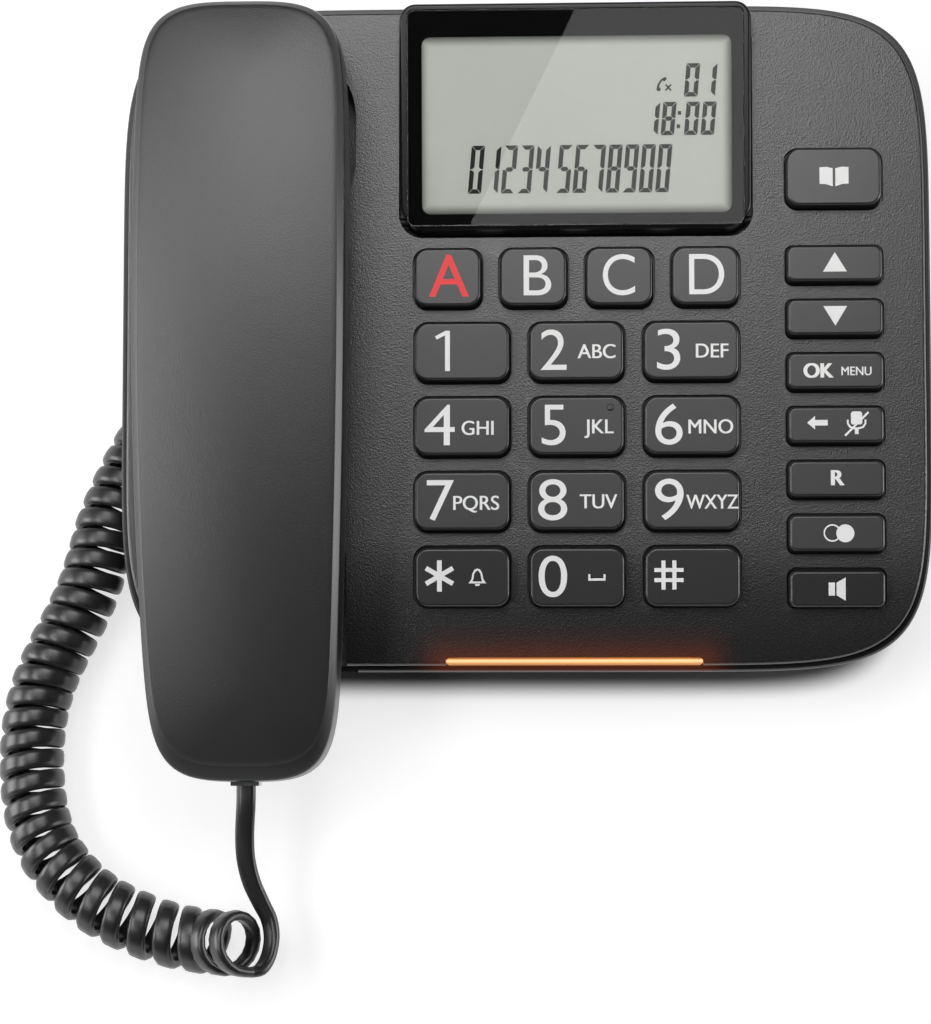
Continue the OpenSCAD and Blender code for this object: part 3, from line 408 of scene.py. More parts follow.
plugClear = mould("plugClear", "#4a4e51", "#8c9093", 0.12, cells=3000, depth=0.000004, coat=0.6)
boardGreen = mould("circuitBoard", "#1d5a38", "#7c6a3a", 0.4, cells=2600, pebble=0.8, depth=0.00002)
steel = mould("steelPlate", "#8c9094", "#c6c9cc", 0.32, cells=2400, depth=0.00002, metal=1.0)
darkSteel = mould("darkSteel", "#1c1d1f", "#4a4c50", 0.5, cells=2400, depth=0.00002, metal=0.8)
screwSteel = mould("screwSteel", "#a2a5a8", "#d6d8da", 0.26, cells=3200, depth=0.000012, metal=1.0)


def makeGlass():
    material, tree, shader = newMaterial("windowGlass")
    wear = shared(tree, wearGroup, Vector=objectPlace(tree))
    plugIn(tree, shader, {"Base Color": (0.95, 0.96, 0.95, 1), "Transmission Weight": 1.0, "IOR": 1.49,
                          "Roughness": ramp(tree, wear["Haze"], 0.0, 1.0, 0.0, 0.012, "LINEAR")})
    clear = addNode(tree, "ShaderNodeBsdfTransparent")  # shadow rays pass, so the screen behind is lit
    rays = addNode(tree, "ShaderNodeLightPath")
    sides = {0: rays.outputs["Is Shadow Ray"], 1: shader.outputs["BSDF"], 2: clear.outputs["BSDF"]}
    either = addNode(tree, "ShaderNodeMixShader", sides)
    plugIn(tree, tree.nodes["Material Output"], {"Surface": either.outputs["Shader"]})
    return material


def makeAmber():
    material = mould("amberGuide", "#e8a860", "#ffd9a0", 0.35, cells=2600, depth=0.00002, edge=0.0)
    tree = material.node_tree
    away = doMath(tree, "ABSOLUTE", doMath(tree, "SUBTRACT", axes(tree, objectPlace(tree))["Y"], lampPoint.y))
    lit = blend(tree, ramp(tree, away, 0.0, lampBar["lineHalf"] * mm), tone("#ffd9a8"), tone("#a8662e"))
    plugIn(tree, tree.nodes["Principled BSDF"], {"Emission Color": lit, "Emission Strength": 0.7})
    return material


windowGlass = makeGlass()
amber = makeAmber()
print("materials made")


# Curly handset cord: the route's given points stand where the solids lie
cord = {"width": 5.2, "thick": 2.8, "widePower": 0.62, "thickPower": 0.8, "sides": 14, "lead": 4.8,
        "endLead": 2.6, "curlRadius": 7.5, "curls": 33, "perCurl": 18, "startTurn": 190.0, "growTurns": 0.875,
        "baseSteps": 16, "baseTwist": (0.2, 0.9), "handSteps": 44, "handTwist": (0.1154, 0.7692),
        "plugExit": (-74.5, -120.729, 26.928), "plugRun": (0, -0.9877, -0.1564)}
coilPoints = [
    [-96, -2, 9.1], [-101, -10, 9.1], [-105.5, -18.5, 9.1], [-110, -27, 9.1], [-114, -36, 9.1],
    [-117.3, -45, 9.1], [-119.5, -54, 9.1], [-122, -63, 9.1], [-125.5, -71.5, 9.1],
    [-129.5, -80, 9.1], [-133, -88.5, 9.1], [-135.2, -97.5, 9.1], [-136, -107, 9.1],
    [-135.6, -116.5, 9.1], [-134, -126, 9.1], [-130.6, -135, 9.1], [-124.6, -143, 9.1],
    [-116.5, -150, 9.1], [-107, -155, 9.1], [-96, -158.8, 9.1], [-85, -160.8, 10.9],
    [-75, -162.2, 21]]
baseTailPoints = [[-84, 23, 11], [-84, 17.5, 11], [-84.3, 12.5, 10.4], [-86, 7.5, 9.8], [-90, 3, 9.3]]
handTailPoints = [
    [-75, -133, 23.4], [-74.8, -139.5, 21.1], [-73.4, -145.5, 18.8], [-71, -150.8, 16.8],
    [-68.9, -155, 15.4], [-68.1, -159.2, 14.9], [-68.3, -163, 15.3], [-69.2, -166.4, 16.3],
    [-70.8, -168.9, 17.6]]
rightWay, upWay = Vector((1, 0, 0)), Vector((0, 0, 1))


def through(points, u):
    count = len(points)
    i = max(0, min(count - 2, int(math.floor(u))))
    t = u - i
    a, b, c, d = (Vector(points[max(0, min(count - 1, k))]) for k in (i - 1, i, i + 1, i + 2))
    square, cube = 2 * a - 5 * b + 4 * c - d, 3 * b - a - 3 * c + d
    return 0.5 * (2 * b + (c - a) * t + square * t * t + cube * t ** 3)


def heading(points, u):
    last = len(points) - 1
    return (through(points, min(last, u + 0.02)) - through(points, max(0, u - 0.02))).normalized()


def alongCoil(turns):
    return (len(coilPoints) - 1) * turns / cord["curls"]


def curlPoint(turns):
    along = heading(coilPoints, alongCoil(turns))
    side = upWay.cross(along).normalized()
    up = along.cross(side)
    angle = math.radians(cord["startTurn"] + 360 * turns)
    reach = cord["curlRadius"] * blendShare(turns, 0, cord["growTurns"])
    return through(coilPoints, alongCoil(turns)) + (side * math.cos(angle) + up * math.sin(angle)) * reach


def curlWide(turns):
    share = blendShare(turns, 0, cord["growTurns"])
    return (heading(coilPoints, alongCoil(turns)) * share + upWay * (1 - share) ** 2).normalized()


def tail(points, steps, twist, lastWide):
    spots = []
    for k in range(steps):
        share = blendShare(k / steps, *twist)
        wide = rightWay * (1 - share) + lastWide * share
        spots.append((through(points, k / steps * (len(points) - 1)), wide.normalized()))
    return spots


def cordRoute():
    turnsAt = [k / cord["perCurl"] for k in range(cord["curls"] * cord["perCurl"] + 1)]
    coil = [(curlPoint(t), curlWide(t)) for t in turnsAt]
    endRun = (curlPoint(cord["curls"]) - curlPoint(cord["curls"] - 0.0125)).normalized()
    first = coil[0][0] - heading(coilPoints, 0) * cord["lead"]
    last = coil[-1][0] + endRun * cord["endLead"]
    plugExit = Vector(cord["plugExit"])
    handPoints = [plugExit, plugExit + Vector(cord["plugRun"]) * cord["lead"], *handTailPoints, last]
    baseTail = tail([*baseTailPoints, first], cord["baseSteps"], cord["baseTwist"], upWay)
    handTail = tail(handPoints, cord["handSteps"], cord["handTwist"], coil[-1][1])
    return baseTail + [(first, coil[0][1])] + coil + [(last, coil[-1][1])] + handTail[::-1]


def cordForm(route):
    outline = []
    for k in range(cord["sides"]):
        a = 2 * math.pi * k / cord["sides"]
        outline.append((power(math.cos(a), cord["widePower"]) * cord["width"] / 2,
                        power(math.sin(a), cord["thickPower"]) * cord["thick"] / 2))
    last = len(route) - 1

    def form(i, j):
        here, wide = route[j]
        run = (route[min(last, j + 1)][0] - route[max(0, j - 1)][0]).normalized()
        across = (wide - wide.dot(run) * run).normalized()
        x, y = outline[i]
        return here + across * x + run.cross(across) * y
    return form


route = cordRoute()
handsetCord = wrapGrid("handset_cord", cord["sides"], len(route) - 1, cordForm(route))
smoothOver(handsetCord, 60)
cordLine = [tuple(midPlace @ p) for p, w in route]
cordLength = sum((Vector(b) - Vector(a)).length for a, b in zip(cordLine, cordLine[1:]))
settle(handsetCord, midPlace, [cordSheath], "base",
       ["cord_coil", "cord_handset_tail", "cord_base_tail"])
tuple(cordLine[0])
print("cord made, metres long:", round(cordLength, 3))


# Plan of the base
base = {"halfW": 110.0, "halfL": 91.0, "xPower": 8.0, "vPower": 6.5, "points": 256, "trim": 0.03, "wall": 2.5,
        "rim": 1.4, "seam": 0.25, "edge": 0.9, "rimBreak": 0.35, "drop": 8.0, "bendStart": 54.0,
        "bendRadius": 170.0}
ledgeW = -base["drop"] - base["seam"]
rimInset = base["rim"] + base["seam"]


def deckW(v):  # the deck is flat as far as the bend at its front
    if v > -base["bendStart"]:
        return 0.0
    return math.sqrt(base["bendRadius"] ** 2 - (v + base["bendStart"]) ** 2) - base["bendRadius"]


def roundedPlan(i, halfW, halfL):
    a = (i + 0.5) * 2 * math.pi / base["points"]
    return halfW * power(math.cos(a), 2 / base["xPower"]), halfL * power(math.sin(a), 2 / base["vPower"])


def planPoint(i, inset):
    return roundedPlan(i, base["halfW"] - base["trim"] - inset, base["halfL"] - base["trim"] - inset)


def planBlock(name, inset, low, high):
    bpy.ops.mesh.primitive_circle_add(vertices=base["points"], fill_type="NGON", location=(0, 0, low))
    piece = newest(name)
    for k, point in enumerate(piece.data.vertices):
        point.co = (*planPoint(k, inset), 0)
    openUp(piece)
    pickAll()
    pull(high - low)
    pickAll()
    bpy.ops.mesh.normals_make_consistent(inside=False)
    closeUp()
    return applied(piece)


# Keys: name, centre x, centre v, hole width, hole length, corner radius
keySize = {"x": 14.2, "dialW": 26.9, "length": 17.2, "pitch": 30.85, "row": 20.25, "firstV": -4.8, "r": 3.6,
           "directW": 19.4, "directPitch": 23.2, "directV": 15.45, "funcX": 83.7, "funcL": 11.2,
           "funcPitch": 14.55, "funcV": 18.5, "funcR": 2.0, "bookV": 42.1, "gap": 0.4, "height": 4.0,
           "draft": 0.4, "round": 0.75, "rounder": 0.45, "lean": 1.2, "flange": 1.7, "flangeT": 1.2,
           "stem": 4.2, "stemEnd": -5.9}
keyList = []


def addKey(name, x, v, w=keySize["dialW"], l=keySize["length"], r=keySize["r"]):
    keyList.append(("key_" + name, x, v, w, l, r))


for col, name in enumerate("abcd"):
    addKey(name, keySize["x"] + (col - 1.5) * keySize["directPitch"], keySize["directV"], keySize["directW"])
for k, name in enumerate("1 2 3 4 5 6 7 8 9 star 0 hash".split()):
    row, col = divmod(k, 3)
    addKey(name, keySize["x"] + (col - 1) * keySize["pitch"], keySize["firstV"] - row * keySize["row"])
addKey("book", keySize["funcX"], keySize["bookV"])
for k, name in enumerate("up down ok back recall redial speaker".split()):
    addKey(name, keySize["funcX"], keySize["funcV"] - k * keySize["funcPitch"], l=keySize["funcL"],
           r=keySize["funcR"])


# Upper housing: one slab with a rounded rim, bent at the front, hollowed and pierced
pocket = {"x": -74.5, "earV": 54.2, "earW": 57.4, "earL": 51.6, "earR": 20.0, "earDeep": 11.3,
          "mouthV": -51.0, "mouthW": 52.6, "mouthR": 10.0, "mouthDeep": 8.3,
          "tubX": 14.0, "tubW": 96.1, "tubFront": 26.75, "tubRear": 84.6, "tubFloor": -6.3, "tubR": 4.0,
          "tubFrontR": 6.5, "tubWall": 1.9}
grille = {"v": -13, "radius": 16.5, "pitch": 4.2, "eachSide": 3, "slotW": 1.8, "slotR": 0.85}
plunger = {"w": 8.6, "l": 5.6, "r": 1.0, "v": 38}
meshCuts = [(13, -base["bendStart"] - 0.01, 2.8, (0, 1, 0)), (22, 83.1, 6.1, (0, 1, 0)),
            (35, 103.3, 6.1, (1, 0, 0))]


def earBlock(grow, low, high):
    return roundBlock("ear", pocket["earW"] + 2 * grow, pocket["earL"] + 2 * grow, pocket["earR"] + grow,
                      low, high, (pocket["x"], pocket["earV"]), 16)


def mouthBlock(grow, low, high):
    reach = 2 * base["halfL"]
    return roundBlock("mouth", pocket["mouthW"] + 2 * grow, reach, pocket["mouthR"] + grow, low, high,
                      (pocket["x"], pocket["mouthV"] + grow - reach / 2), 12)


def tubBlock(grow, low, high):
    front, rear = pocket["tubFront"] - grow, pocket["tubRear"] + grow
    piece = block("tub", (pocket["tubW"] + 2 * grow, rear - front, high - low),
                  (pocket["tubX"], (front + rear) / 2, (low + high) / 2))
    openUp(piece)
    pick(piece, "EDGE", lambda e: isUpright(e) and e.verts[0].co.y > front + 1)
    bevelEdges(pocket["tubR"] + grow, 8)
    pick(piece, "EDGE", lambda e: isUpright(e) and e.verts[0].co.y < front + 0.01)
    bevelEdges(pocket["tubFrontR"] + grow, 10)
    closeUp()
    return piece


def makeSlab():
    wall, drop = base["wall"], base["drop"]
    piece = planBlock("upper_housing", rimInset, -drop, 0)
    openUp(piece)
    pick(piece, "EDGE", lambda e: all(v.co.z > -0.01 for v in e.verts))
    bevelEdges(base["edge"], 6)
    pick(piece, "FACE", facesDown)
    bpy.ops.mesh.inset(thickness=wall, depth=0)
    pick(piece, "FACE", lambda f: facesDown(f) and len(f.verts) > 20)
    pull(drop - wall)
    for count, start, step, square in meshCuts:
        for k in range(count):
            pickAll()
            bpy.ops.mesh.bisect(plane_co=Vector(square) * (start - k * step), plane_no=square)
    shape = bmesh.from_edit_mesh(piece.data)
    for point in shape.verts:
        if point.co.z > -drop + 1:
            point.co.z += deckW(point.co.y)
    bmesh.update_edit_mesh(piece.data)
    closeUp()
    return piece


def deckHoles():
    under, x, floor = -base["wall"], pocket["x"], -pocket["earDeep"]
    holes = [roundBlock("hole", w, l, r + keySize["rounder"], under - 4, 4, (keyX, v))
             for name, keyX, v, w, l, r in keyList]
    for i in range(-grille["eachSide"], grille["eachSide"] + 1):
        aside = i * grille["pitch"]
        chord = math.sqrt(grille["radius"] ** 2 - aside ** 2)
        holes.append(roundBlock("slot", grille["slotW"], 2 * chord, grille["slotR"], under - 1, 1,
                                (x + aside, grille["v"]), 4))
    holes.append(roundBlock("plunger", plunger["w"], plunger["l"], plunger["r"], floor + under - 1, floor + 1,
                            (x, plunger["v"]), 4))
    holes.append(block("lamp", (lampBar["length"] + 0.2, 5.2, 8),
                       (lampBar["x"], lampBar["v"] - 1.5, 3 - base["drop"])))
    return joined("holes", holes)


def isRimEdge(edge):
    if any(abs(p.co.z - deckW(p.co.y)) > 0.03 for p in edge.verts) or len(edge.link_faces) != 2:
        return False
    steep = sorted(abs(f.normal.z) for f in edge.link_faces)
    return steep[0] < 0.3 and steep[1] > 0.9


def makeUpperHousing():
    wall, ear, mouthFloor, tub = base["wall"], -pocket["earDeep"], -pocket["mouthDeep"], pocket["tubFloor"]
    piece = makeSlab()
    carve(piece, earBlock(wall, ear - wall, -1), "UNION")
    mouth = carve(mouthBlock(wall, mouthFloor - wall, -4.5),
                  planBlock("plan", rimInset, mouthFloor - wall - 1, -1), "INTERSECT")
    carve(piece, mouth, "UNION")
    carve(piece, tubBlock(pocket["tubWall"], tub - pocket["tubWall"], -1), "UNION")
    for cutter in (earBlock(0, ear, 5), mouthBlock(0, mouthFloor, 5), tubBlock(0, tub, 5), deckHoles()):
        carve(piece, cutter)
    sealed(piece)
    openUp(piece)
    pick(piece, "EDGE", isRimEdge)
    bevelEdges(base["rimBreak"], 2, clamp_overlap=True)
    closeUp()
    smoothOver(piece, 30)
    settle(piece, deckPlace, [deckGrain], "base", ["base_upper_shell"])
    print("upper housing faces:", len(piece.data.polygons))


makeUpperHousing()


# Lower housing: rings run up the outside, over the rim and down the inside
foot = {"height": 3.0, "side": 18.0, "front": 11.0, "rear": 15.0, "flankPower": 1.5}
rimProfile = [(0, 3.7), (0.06, 3.3), (0.25, 2.9), (0.55, 2.62), (0.85, 2.6), (base["rim"] - 0.15, 2.6),
              (base["rim"], 2.75)]  # inset and depth below the deck
well = {"bossR": 4.8, "screwR": 3.6, "screwTop": 11.8, "pilotR": 1.7, "footR": 7.2, "footTop": 4, "room": 2.8,
        "tubRoom": 2.2}
channel = {"inner": -76, "midY": -9, "l": 86, "top": 21.5}
tiltCos, tiltSin = math.cos(math.radians(deck["tilt"])), math.sin(math.radians(deck["tilt"]))
footFront = -base["halfL"] * tiltCos + base["drop"] * tiltSin + foot["front"]
footRear = base["halfL"] * tiltCos + base["drop"] * tiltSin - foot["rear"]


def onDeck(x, v, w):
    return Vector((x, v * tiltCos - w * tiltSin, v * tiltSin + w * tiltCos + deck["height"]))


def footPoint(i, inset):
    x, y = roundedPlan(i, base["halfW"] - foot["side"] - inset, (footRear - footFront) / 2 - inset)
    return x, y + (footFront + footRear) / 2


def flankPoint(i, topInset, footInset, w, footZ, t):
    x, v = planPoint(i, topInset)
    top = onDeck(x, v, w)
    fx, fy = footPoint(i, footInset)
    share = t ** foot["flankPower"]
    return Vector((lerp(top.x, fx, share), lerp(top.y, fy, share), lerp(top.z, footZ, t)))


def makeLowerSkin():
    wall, inner = base["wall"], base["rim"] + base["wall"] + 0.5
    rings = [("flank", 0, 0, ledgeW - 1, foot["height"], 1 - k / 12) for k in range(13)]
    rings += [("deck", *spot) for spot in rimProfile]
    rings += [("flat", base["rim"], ledgeW), ("flat", inner, ledgeW)]
    rings += [("flank", inner, wall, ledgeW, foot["height"] + wall, k / 6) for k in range(1, 7)]

    def form(i, j):
        kind, *values = rings[j]
        if kind == "flank":
            return flankPoint(i, *values)
        x, v = planPoint(i, values[0])
        return onDeck(x, v, deckW(v) - values[1] if kind == "deck" else values[1])
    return wrapGrid("lower_housing", base["points"], len(rings) - 1, form)


def makeLowerSolid():
    return wrapGrid("solid", base["points"], 12,
                    lambda i, j: flankPoint(i, 0, 0, ledgeW - 1, foot["height"], 1 - j / 12))


def sideChannel(grow):
    outer = -base["halfW"] - 4
    inner, top = channel["inner"] + grow, channel["top"] + grow
    return block("channel", (inner - outer, channel["l"] + 2 * grow, top + 1),
                 ((outer + inner) / 2, channel["midY"], (top - 1) / 2))


def turned(piece):
    piece.matrix_world = flatPlace.inverted() @ Matrix.Translation((0, -deck["midY"] * mm, 0)) @ deckPlace
    return applied(piece)


def makeLowerHousing():
    screwSpots = [onDeck(x, v, -base["wall"]).xy for x, v in ((-60, 18), (-60, -45), (64.5, -45.2), (73, 67))]
    front, rear = footFront + 11.2, footRear - 19.6
    feetSpots = [(78, front), (80.8, rear), (-80.8, rear), (-62, front)]
    room, tubRoom = well["room"], well["tubRoom"]
    piece = makeLowerSkin()
    carve(piece, carve(sideChannel(base["wall"]), makeLowerSolid(), "INTERSECT"), "UNION")
    for spot in screwSpots:
        carve(piece, rod("boss", well["bossR"], foot["height"] + 0.5, 20, spot, 32), "UNION")
    carve(piece, sideChannel(0))
    carve(piece, turned(mouthBlock(room, -pocket["mouthDeep"] - room, 5)))
    carve(piece, turned(earBlock(room, -pocket["earDeep"] - room, 5)))
    carve(piece, turned(tubBlock(tubRoom, pocket["tubFloor"] - tubRoom, 5)))
    wells = [rod("well", well["screwR"], -1, well["screwTop"], spot, 32) for spot in screwSpots]
    wells += [rod("footWell", well["footR"], 0, well["footTop"], spot) for spot in feetSpots]
    wells += [block("line", (15.4, 35, 13.4), (58, 89.5, 12.3)),
              block("cordSocket", (11.2, 4.5, 10.2), (-84, 35.25, 11))]
    carve(piece, joined("wells", wells))
    carve(piece, joined("pilots", [rod("pilot", well["pilotR"], 0, 21, spot, 24) for spot in screwSpots]))
    smoothOver(piece, 30)
    settle(piece, midPlace, [rimSatin], "base", ["base_lower_shell"])
    print("lower housing faces:", len(piece.data.polygons))


makeLowerHousing()


# Keys
def keySlope(v):
    return keySize["lean"] * math.degrees(math.asin(max(0, -v - base["bendStart"]) / base["bendRadius"]))


def resize(x, y, centre):
    bpy.ops.transform.resize(value=(x, y, 1), center_override=centre)


def makeKey(name, x, v, w, l, r):
    gap, height, draft, flange = keySize["gap"], keySize["height"], keySize["draft"], keySize["flange"]
    flangeTop = deckW(v - l / 2 - 0.45 - 2 * gap) - base["wall"] - 0.3
    flangeLow = flangeTop - keySize["flangeT"]
    middle = deckW(v)
    capW, capL, capR = w - 2 * gap, l - 2 * gap, r - gap + keySize["rounder"]
    piece = roundBlock(name + "_cap", capW, capL, capR, flangeTop, middle + height, (x, v), 10)
    openUp(piece)
    pick(piece, "FACE", facesUp)
    resize(1 - 2 * draft / capW, 1 - 2 * draft / capL, (x, v, middle + height))
    pick(piece, "FACE", facesUp)
    shape = bmesh.from_edit_mesh(piece.data)
    tip = Matrix.Translation((x, v, middle)) @ Matrix.Rotation(math.radians(keySlope(v)), 4, "X")
    for point in shape.verts:
        if point.select:
            point.co = tip @ (point.co - Vector((x, v, middle)))
    bmesh.update_edit_mesh(piece.data)
    shape.normal_update()
    pick(piece, "EDGE", lambda e: any(facesUp(f) for f in e.link_faces))
    bevelEdges(keySize["round"], 4)
    pick(piece, "FACE", facesDown)
    pull(0)  # a flange wider than the hole, then a stem down to the membrane
    resize((capW + flange) / capW, (capL + flange) / capL, (x, v, flangeTop))
    pull(-keySize["flangeT"])
    pull(0)
    resize(keySize["stem"] / (capW + flange), keySize["stem"] / (capL + flange), (x, v, flangeLow))
    pull(min(-0.4, keySize["stemEnd"] - flangeLow))
    closeUp()
    if name == "key_5":
        dot = rod("dot", 0.95, middle + height - 0.3, middle + height + 0.5,
                  (x + capW / 2 - 4, v + capL / 2 - 3.4), 24)
        carve(piece, soften(dot, 0.4, 4), "UNION")
    smoothOver(piece, 40)
    settle(piece, deckPlace, [keySatin], name, [name])
    return deckPlace @ tip @ Matrix.Translation((0, 0, height))


keyTops = {key[0]: makeKey(*key) for key in keyList}
print("keys made")


# Legends: text and flat outlines with a little thickness, sunk halfway into the cap
legend = {"thick": 0.12, "upper": 0.14, "digitTall": 11.2, "digitY": 0.35, "digitThin": -0.045,
          "lettersTall": 3.85, "lettersBold": 0.16}
letters = {"2": ("ABC", 5.4, -0.15, 0.97), "3": ("DEF", 5.6, -0.15, 0.97), "4": ("GHI", 4.2, -0.5, 0.97),
           "5": ("JKL", 6.0, -0.25, 0.97), "6": ("MNO", 5.1, -0.4, 0.95), "7": ("PQRS", 3.8, -0.5, 0.97),
           "8": ("TUV", 5.8, -0.2, 0.95), "9": ("WXYZ", 5.4, -0.4, 0.84)}  # text, x, y, squeeze
digitsAt = {"2": (-6.15, 1.02), "3": (-6.1, 1.1), "4": (-6.05, 1.12), "5": (-6.2, 1.05), "6": (-6.1, 1.1),
            "7": (-5.85, 1.05), "8": (-6.5, 1.13), "9": (-6.1, 1.14), "0": (-6.5, 1.1)}  # x, squeeze


def merged(piece):
    openUp(piece)
    pickAll()
    bpy.ops.mesh.remove_doubles(threshold=0.0005)
    bpy.ops.mesh.normals_make_consistent(inside=False)
    closeUp()
    return piece


def stamp(outlines, thick=legend["thick"]):
    curve = bpy.data.curves.new("sign", "CURVE")
    curve.dimensions = "2D"
    curve.fill_mode = "BOTH"
    curve.extrude = thick / 2
    for points in outlines:
        line = curve.splines.new("POLY")
        line.points.add(len(points) - 1)
        for spot, (x, y) in zip(line.points, points):
            spot.co = (x, y, 0, 1)
        line.use_cyclic_u = True
    piece = bpy.data.objects.new("sign", curve)
    bpy.context.scene.collection.objects.link(piece)
    only(piece)
    bpy.ops.object.convert(target="MESH")
    return merged(newest("sign"))


def word(text, tall, centre, weight=0.0, squeeze=1.0, thick=legend["thick"]):
    bpy.ops.object.text_add(location=(0, 0, 0))
    piece = bpy.context.object
    piece.data.body = text
    piece.data.size = tall / 0.7
    piece.data.offset = weight
    piece.data.extrude = thick / 2
    piece.data.align_x = "LEFT"
    only(piece)
    bpy.ops.object.convert(target="MESH")
    piece = newest("word")
    xs = [p.co.x for p in piece.data.vertices]
    middle = (min(xs) + max(xs)) / 2
    for p in piece.data.vertices:
        p.co.x = (p.co.x - middle) * squeeze + centre[0]
        p.co.y += centre[1] - tall / 2
    return merged(piece)


def boldWord(text, tall, centre, bold, weight=0.0, squeeze=1.0):  # two prints a little apart
    x, y = centre
    prints = ((x - bold / 2, legend["thick"]), (x + bold / 2, legend["upper"]))
    return joined("word", [word(text, tall, (at, y), weight, squeeze, thick) for at, thick in prints])


def moved(outlines, x, y):
    return [[(x + a, y + b) for a, b in points] for points in outlines]


def mirrored(points):
    return points + [(-a, b) for a, b in reversed(points) if a]


def ring(x, y, r, sides=40):
    turns = [2 * math.pi * k / sides for k in range(sides)]
    return [(x + r * math.cos(a), y + r * math.sin(a)) for a in turns]


def box2(x0, y0, x1, y1):
    return [(x0, y0), (x1, y0), (x1, y1), (x0, y1)]


def bar(x0, y0, x1, y1, wide):
    run = Vector((x1 - x0, y1 - y0)).normalized() * wide / 2
    return [(x + side * run.y, y - side * run.x) for x, y, side in
            ((x0, y0, -1), (x0, y0, 1), (x1, y1, 1), (x1, y1, -1))]


def star(reach, half):
    points = []
    for k in range(6):
        a = math.radians(30 + 60 * k)
        run, side = Vector((math.cos(a), math.sin(a))), Vector((-math.sin(a), math.cos(a)))
        inner = Vector((math.cos(a - math.pi / 6), math.sin(a - math.pi / 6))) * 2 * half
        points += [inner, run * reach - side * half, run * reach + side * half]
    return [(p.x, p.y) for p in points]


one = [(-4.6, -5.35), (-3.3, -5.35), (-3.3, 5.6), (-4.45, 5.6), (-7.3, 4.1), (-6.9, 3.2), (-4.6, 4.35)]
page = [(-3.9, -2.0), (-2.2, -2.1), (-0.35, -2.7), (-0.35, 2.2), (-2.0, 2.6), (-3.9, 2.5)]
bell = [mirrored([(-2.4, -1.7), (-1.6, -0.6), (-1.35, 0.9), (-0.75, 2.0), (0, 2.3)]),
        mirrored([(-1.3, -1.2), (-1.05, -0.5), (-0.85, 0.8), (-0.42, 1.5), (0, 1.7)]),
        mirrored([(-0.45, -2.4), (-0.75, -1.85)])]
space = mirrored([(2.3, -0.85), (2.3, 0.9), (1.75, 0.9), (1.75, -0.25)])
arrow = [(-2.8, 0), (-0.7, 1.8), (-0.7, 0.75), (2.7, 0.75), (2.7, -0.75), (-0.7, -0.75), (-0.7, -1.8)]
microphone = [mirrored([(1.2, -0.4), (1.5, 0), (1.5, 2.6), (1.1, 3.1)]),
              mirrored([(0.5, -3.0), (0.5, -1.75), (1.9, -1.3), (2.6, -0.2), (2.6, 0.9), (2.1, 0.9),
                        (2.1, -0.1), (1.5, -0.9), (0, -1.25)])]
horn = [box2(-2.4, -1.75, -0.75, 1.75), [(-0.3, -1.7), (2.1, -3.1), (2.1, 3.1), (-0.3, 1.7)]]
hashUpright = moved([bar(side * 1.45, -3.9, side * 1.45, 3.9, 1.1) for side in (-1, 1)], -6.3, 0.5)
hashLevel = moved([bar(-3.9, side * 1.35, 3.9, side * 1.35, 1.05) for side in (-1, 1)], -6.3, 0.5)
higher = legend["upper"]  # a print that crosses another stands a little higher
legends = {
    "a": lambda: [boldWord("A", 11.7, (0.4, 0.45), 0.16, 0.0, 0.96)],
    "b": lambda: [word("B", 11.3, (1.1, 0.45), -0.05, 1.0)],
    "c": lambda: [word("C", 11.3, (-0.1, 0.45), -0.05, 0.88)],
    "d": lambda: [word("D", 11.3, (0.3, 0.45), -0.05, 0.94)],
    "star": lambda: [stamp(moved([star(4.2, 0.64)], -6.1, 0.4)), stamp(moved(bell, 4.1, 0.1))],
    "hash": lambda: [stamp([p]) for p in hashUpright] + [stamp([p], higher) for p in hashLevel],
    "book": lambda: [stamp([page, [(-a, b) for a, b in page]])],
    "up": lambda: [stamp([[(-3.2, -2.3), (3.2, -2.3), (0, 3.0)]])],
    "down": lambda: [stamp([[(-3.2, 2.9), (0, -2.4), (3.2, 2.9)]])],
    "ok": lambda: [boldWord("OK", 3.9, (-4.6, 0.1), 0.45, 0.03, 0.95),
                       boldWord("MENU", 2.35, (5.5, -0.1), 0.1, 0.0, 0.9)],
    "back": lambda: [stamp([p]) for p in moved([arrow], -5.0, 0.5) + moved(microphone, 5.4, 0.4)]
    + [stamp([bar(2.3, -3.0, 8.6, 3.3, 0.55)], higher)],
    "recall": lambda: [boldWord("R", 4.1, (0.2, 0.3), 0.45, 0.03)],
    "redial": lambda: [stamp([ring(-1.35, 0, 2.35), ring(-1.35, 0, 1.95)]),
                           stamp([ring(2.1, -0.1, 2.4)], higher)],
    "speaker": lambda: [stamp([p]) for p in horn]}


def digitParts(name):
    if name == "1":
        return [stamp([one])]
    x, squeeze = digitsAt[name]
    parts = [word(name, legend["digitTall"], (x, legend["digitY"]), legend["digitThin"], squeeze)]
    if name in letters:
        text, x, y, squeeze = letters[name]
        parts.append(boldWord(text, legend["lettersTall"], (x, y), legend["lettersBold"], 0.0, squeeze))
    if name == "0":
        parts.append(stamp(moved([space], 5.3, -0.1)))
    return parts


for name in ["1", *digitsAt, *legends]:
    key = "key_" + name
    sign = joined("legend_" + key, legends[name]() if name in legends else digitParts(name))
    settle(sign, keyTops[key], [legendRed if name == "a" else legendWhite], key)
print("legends made")


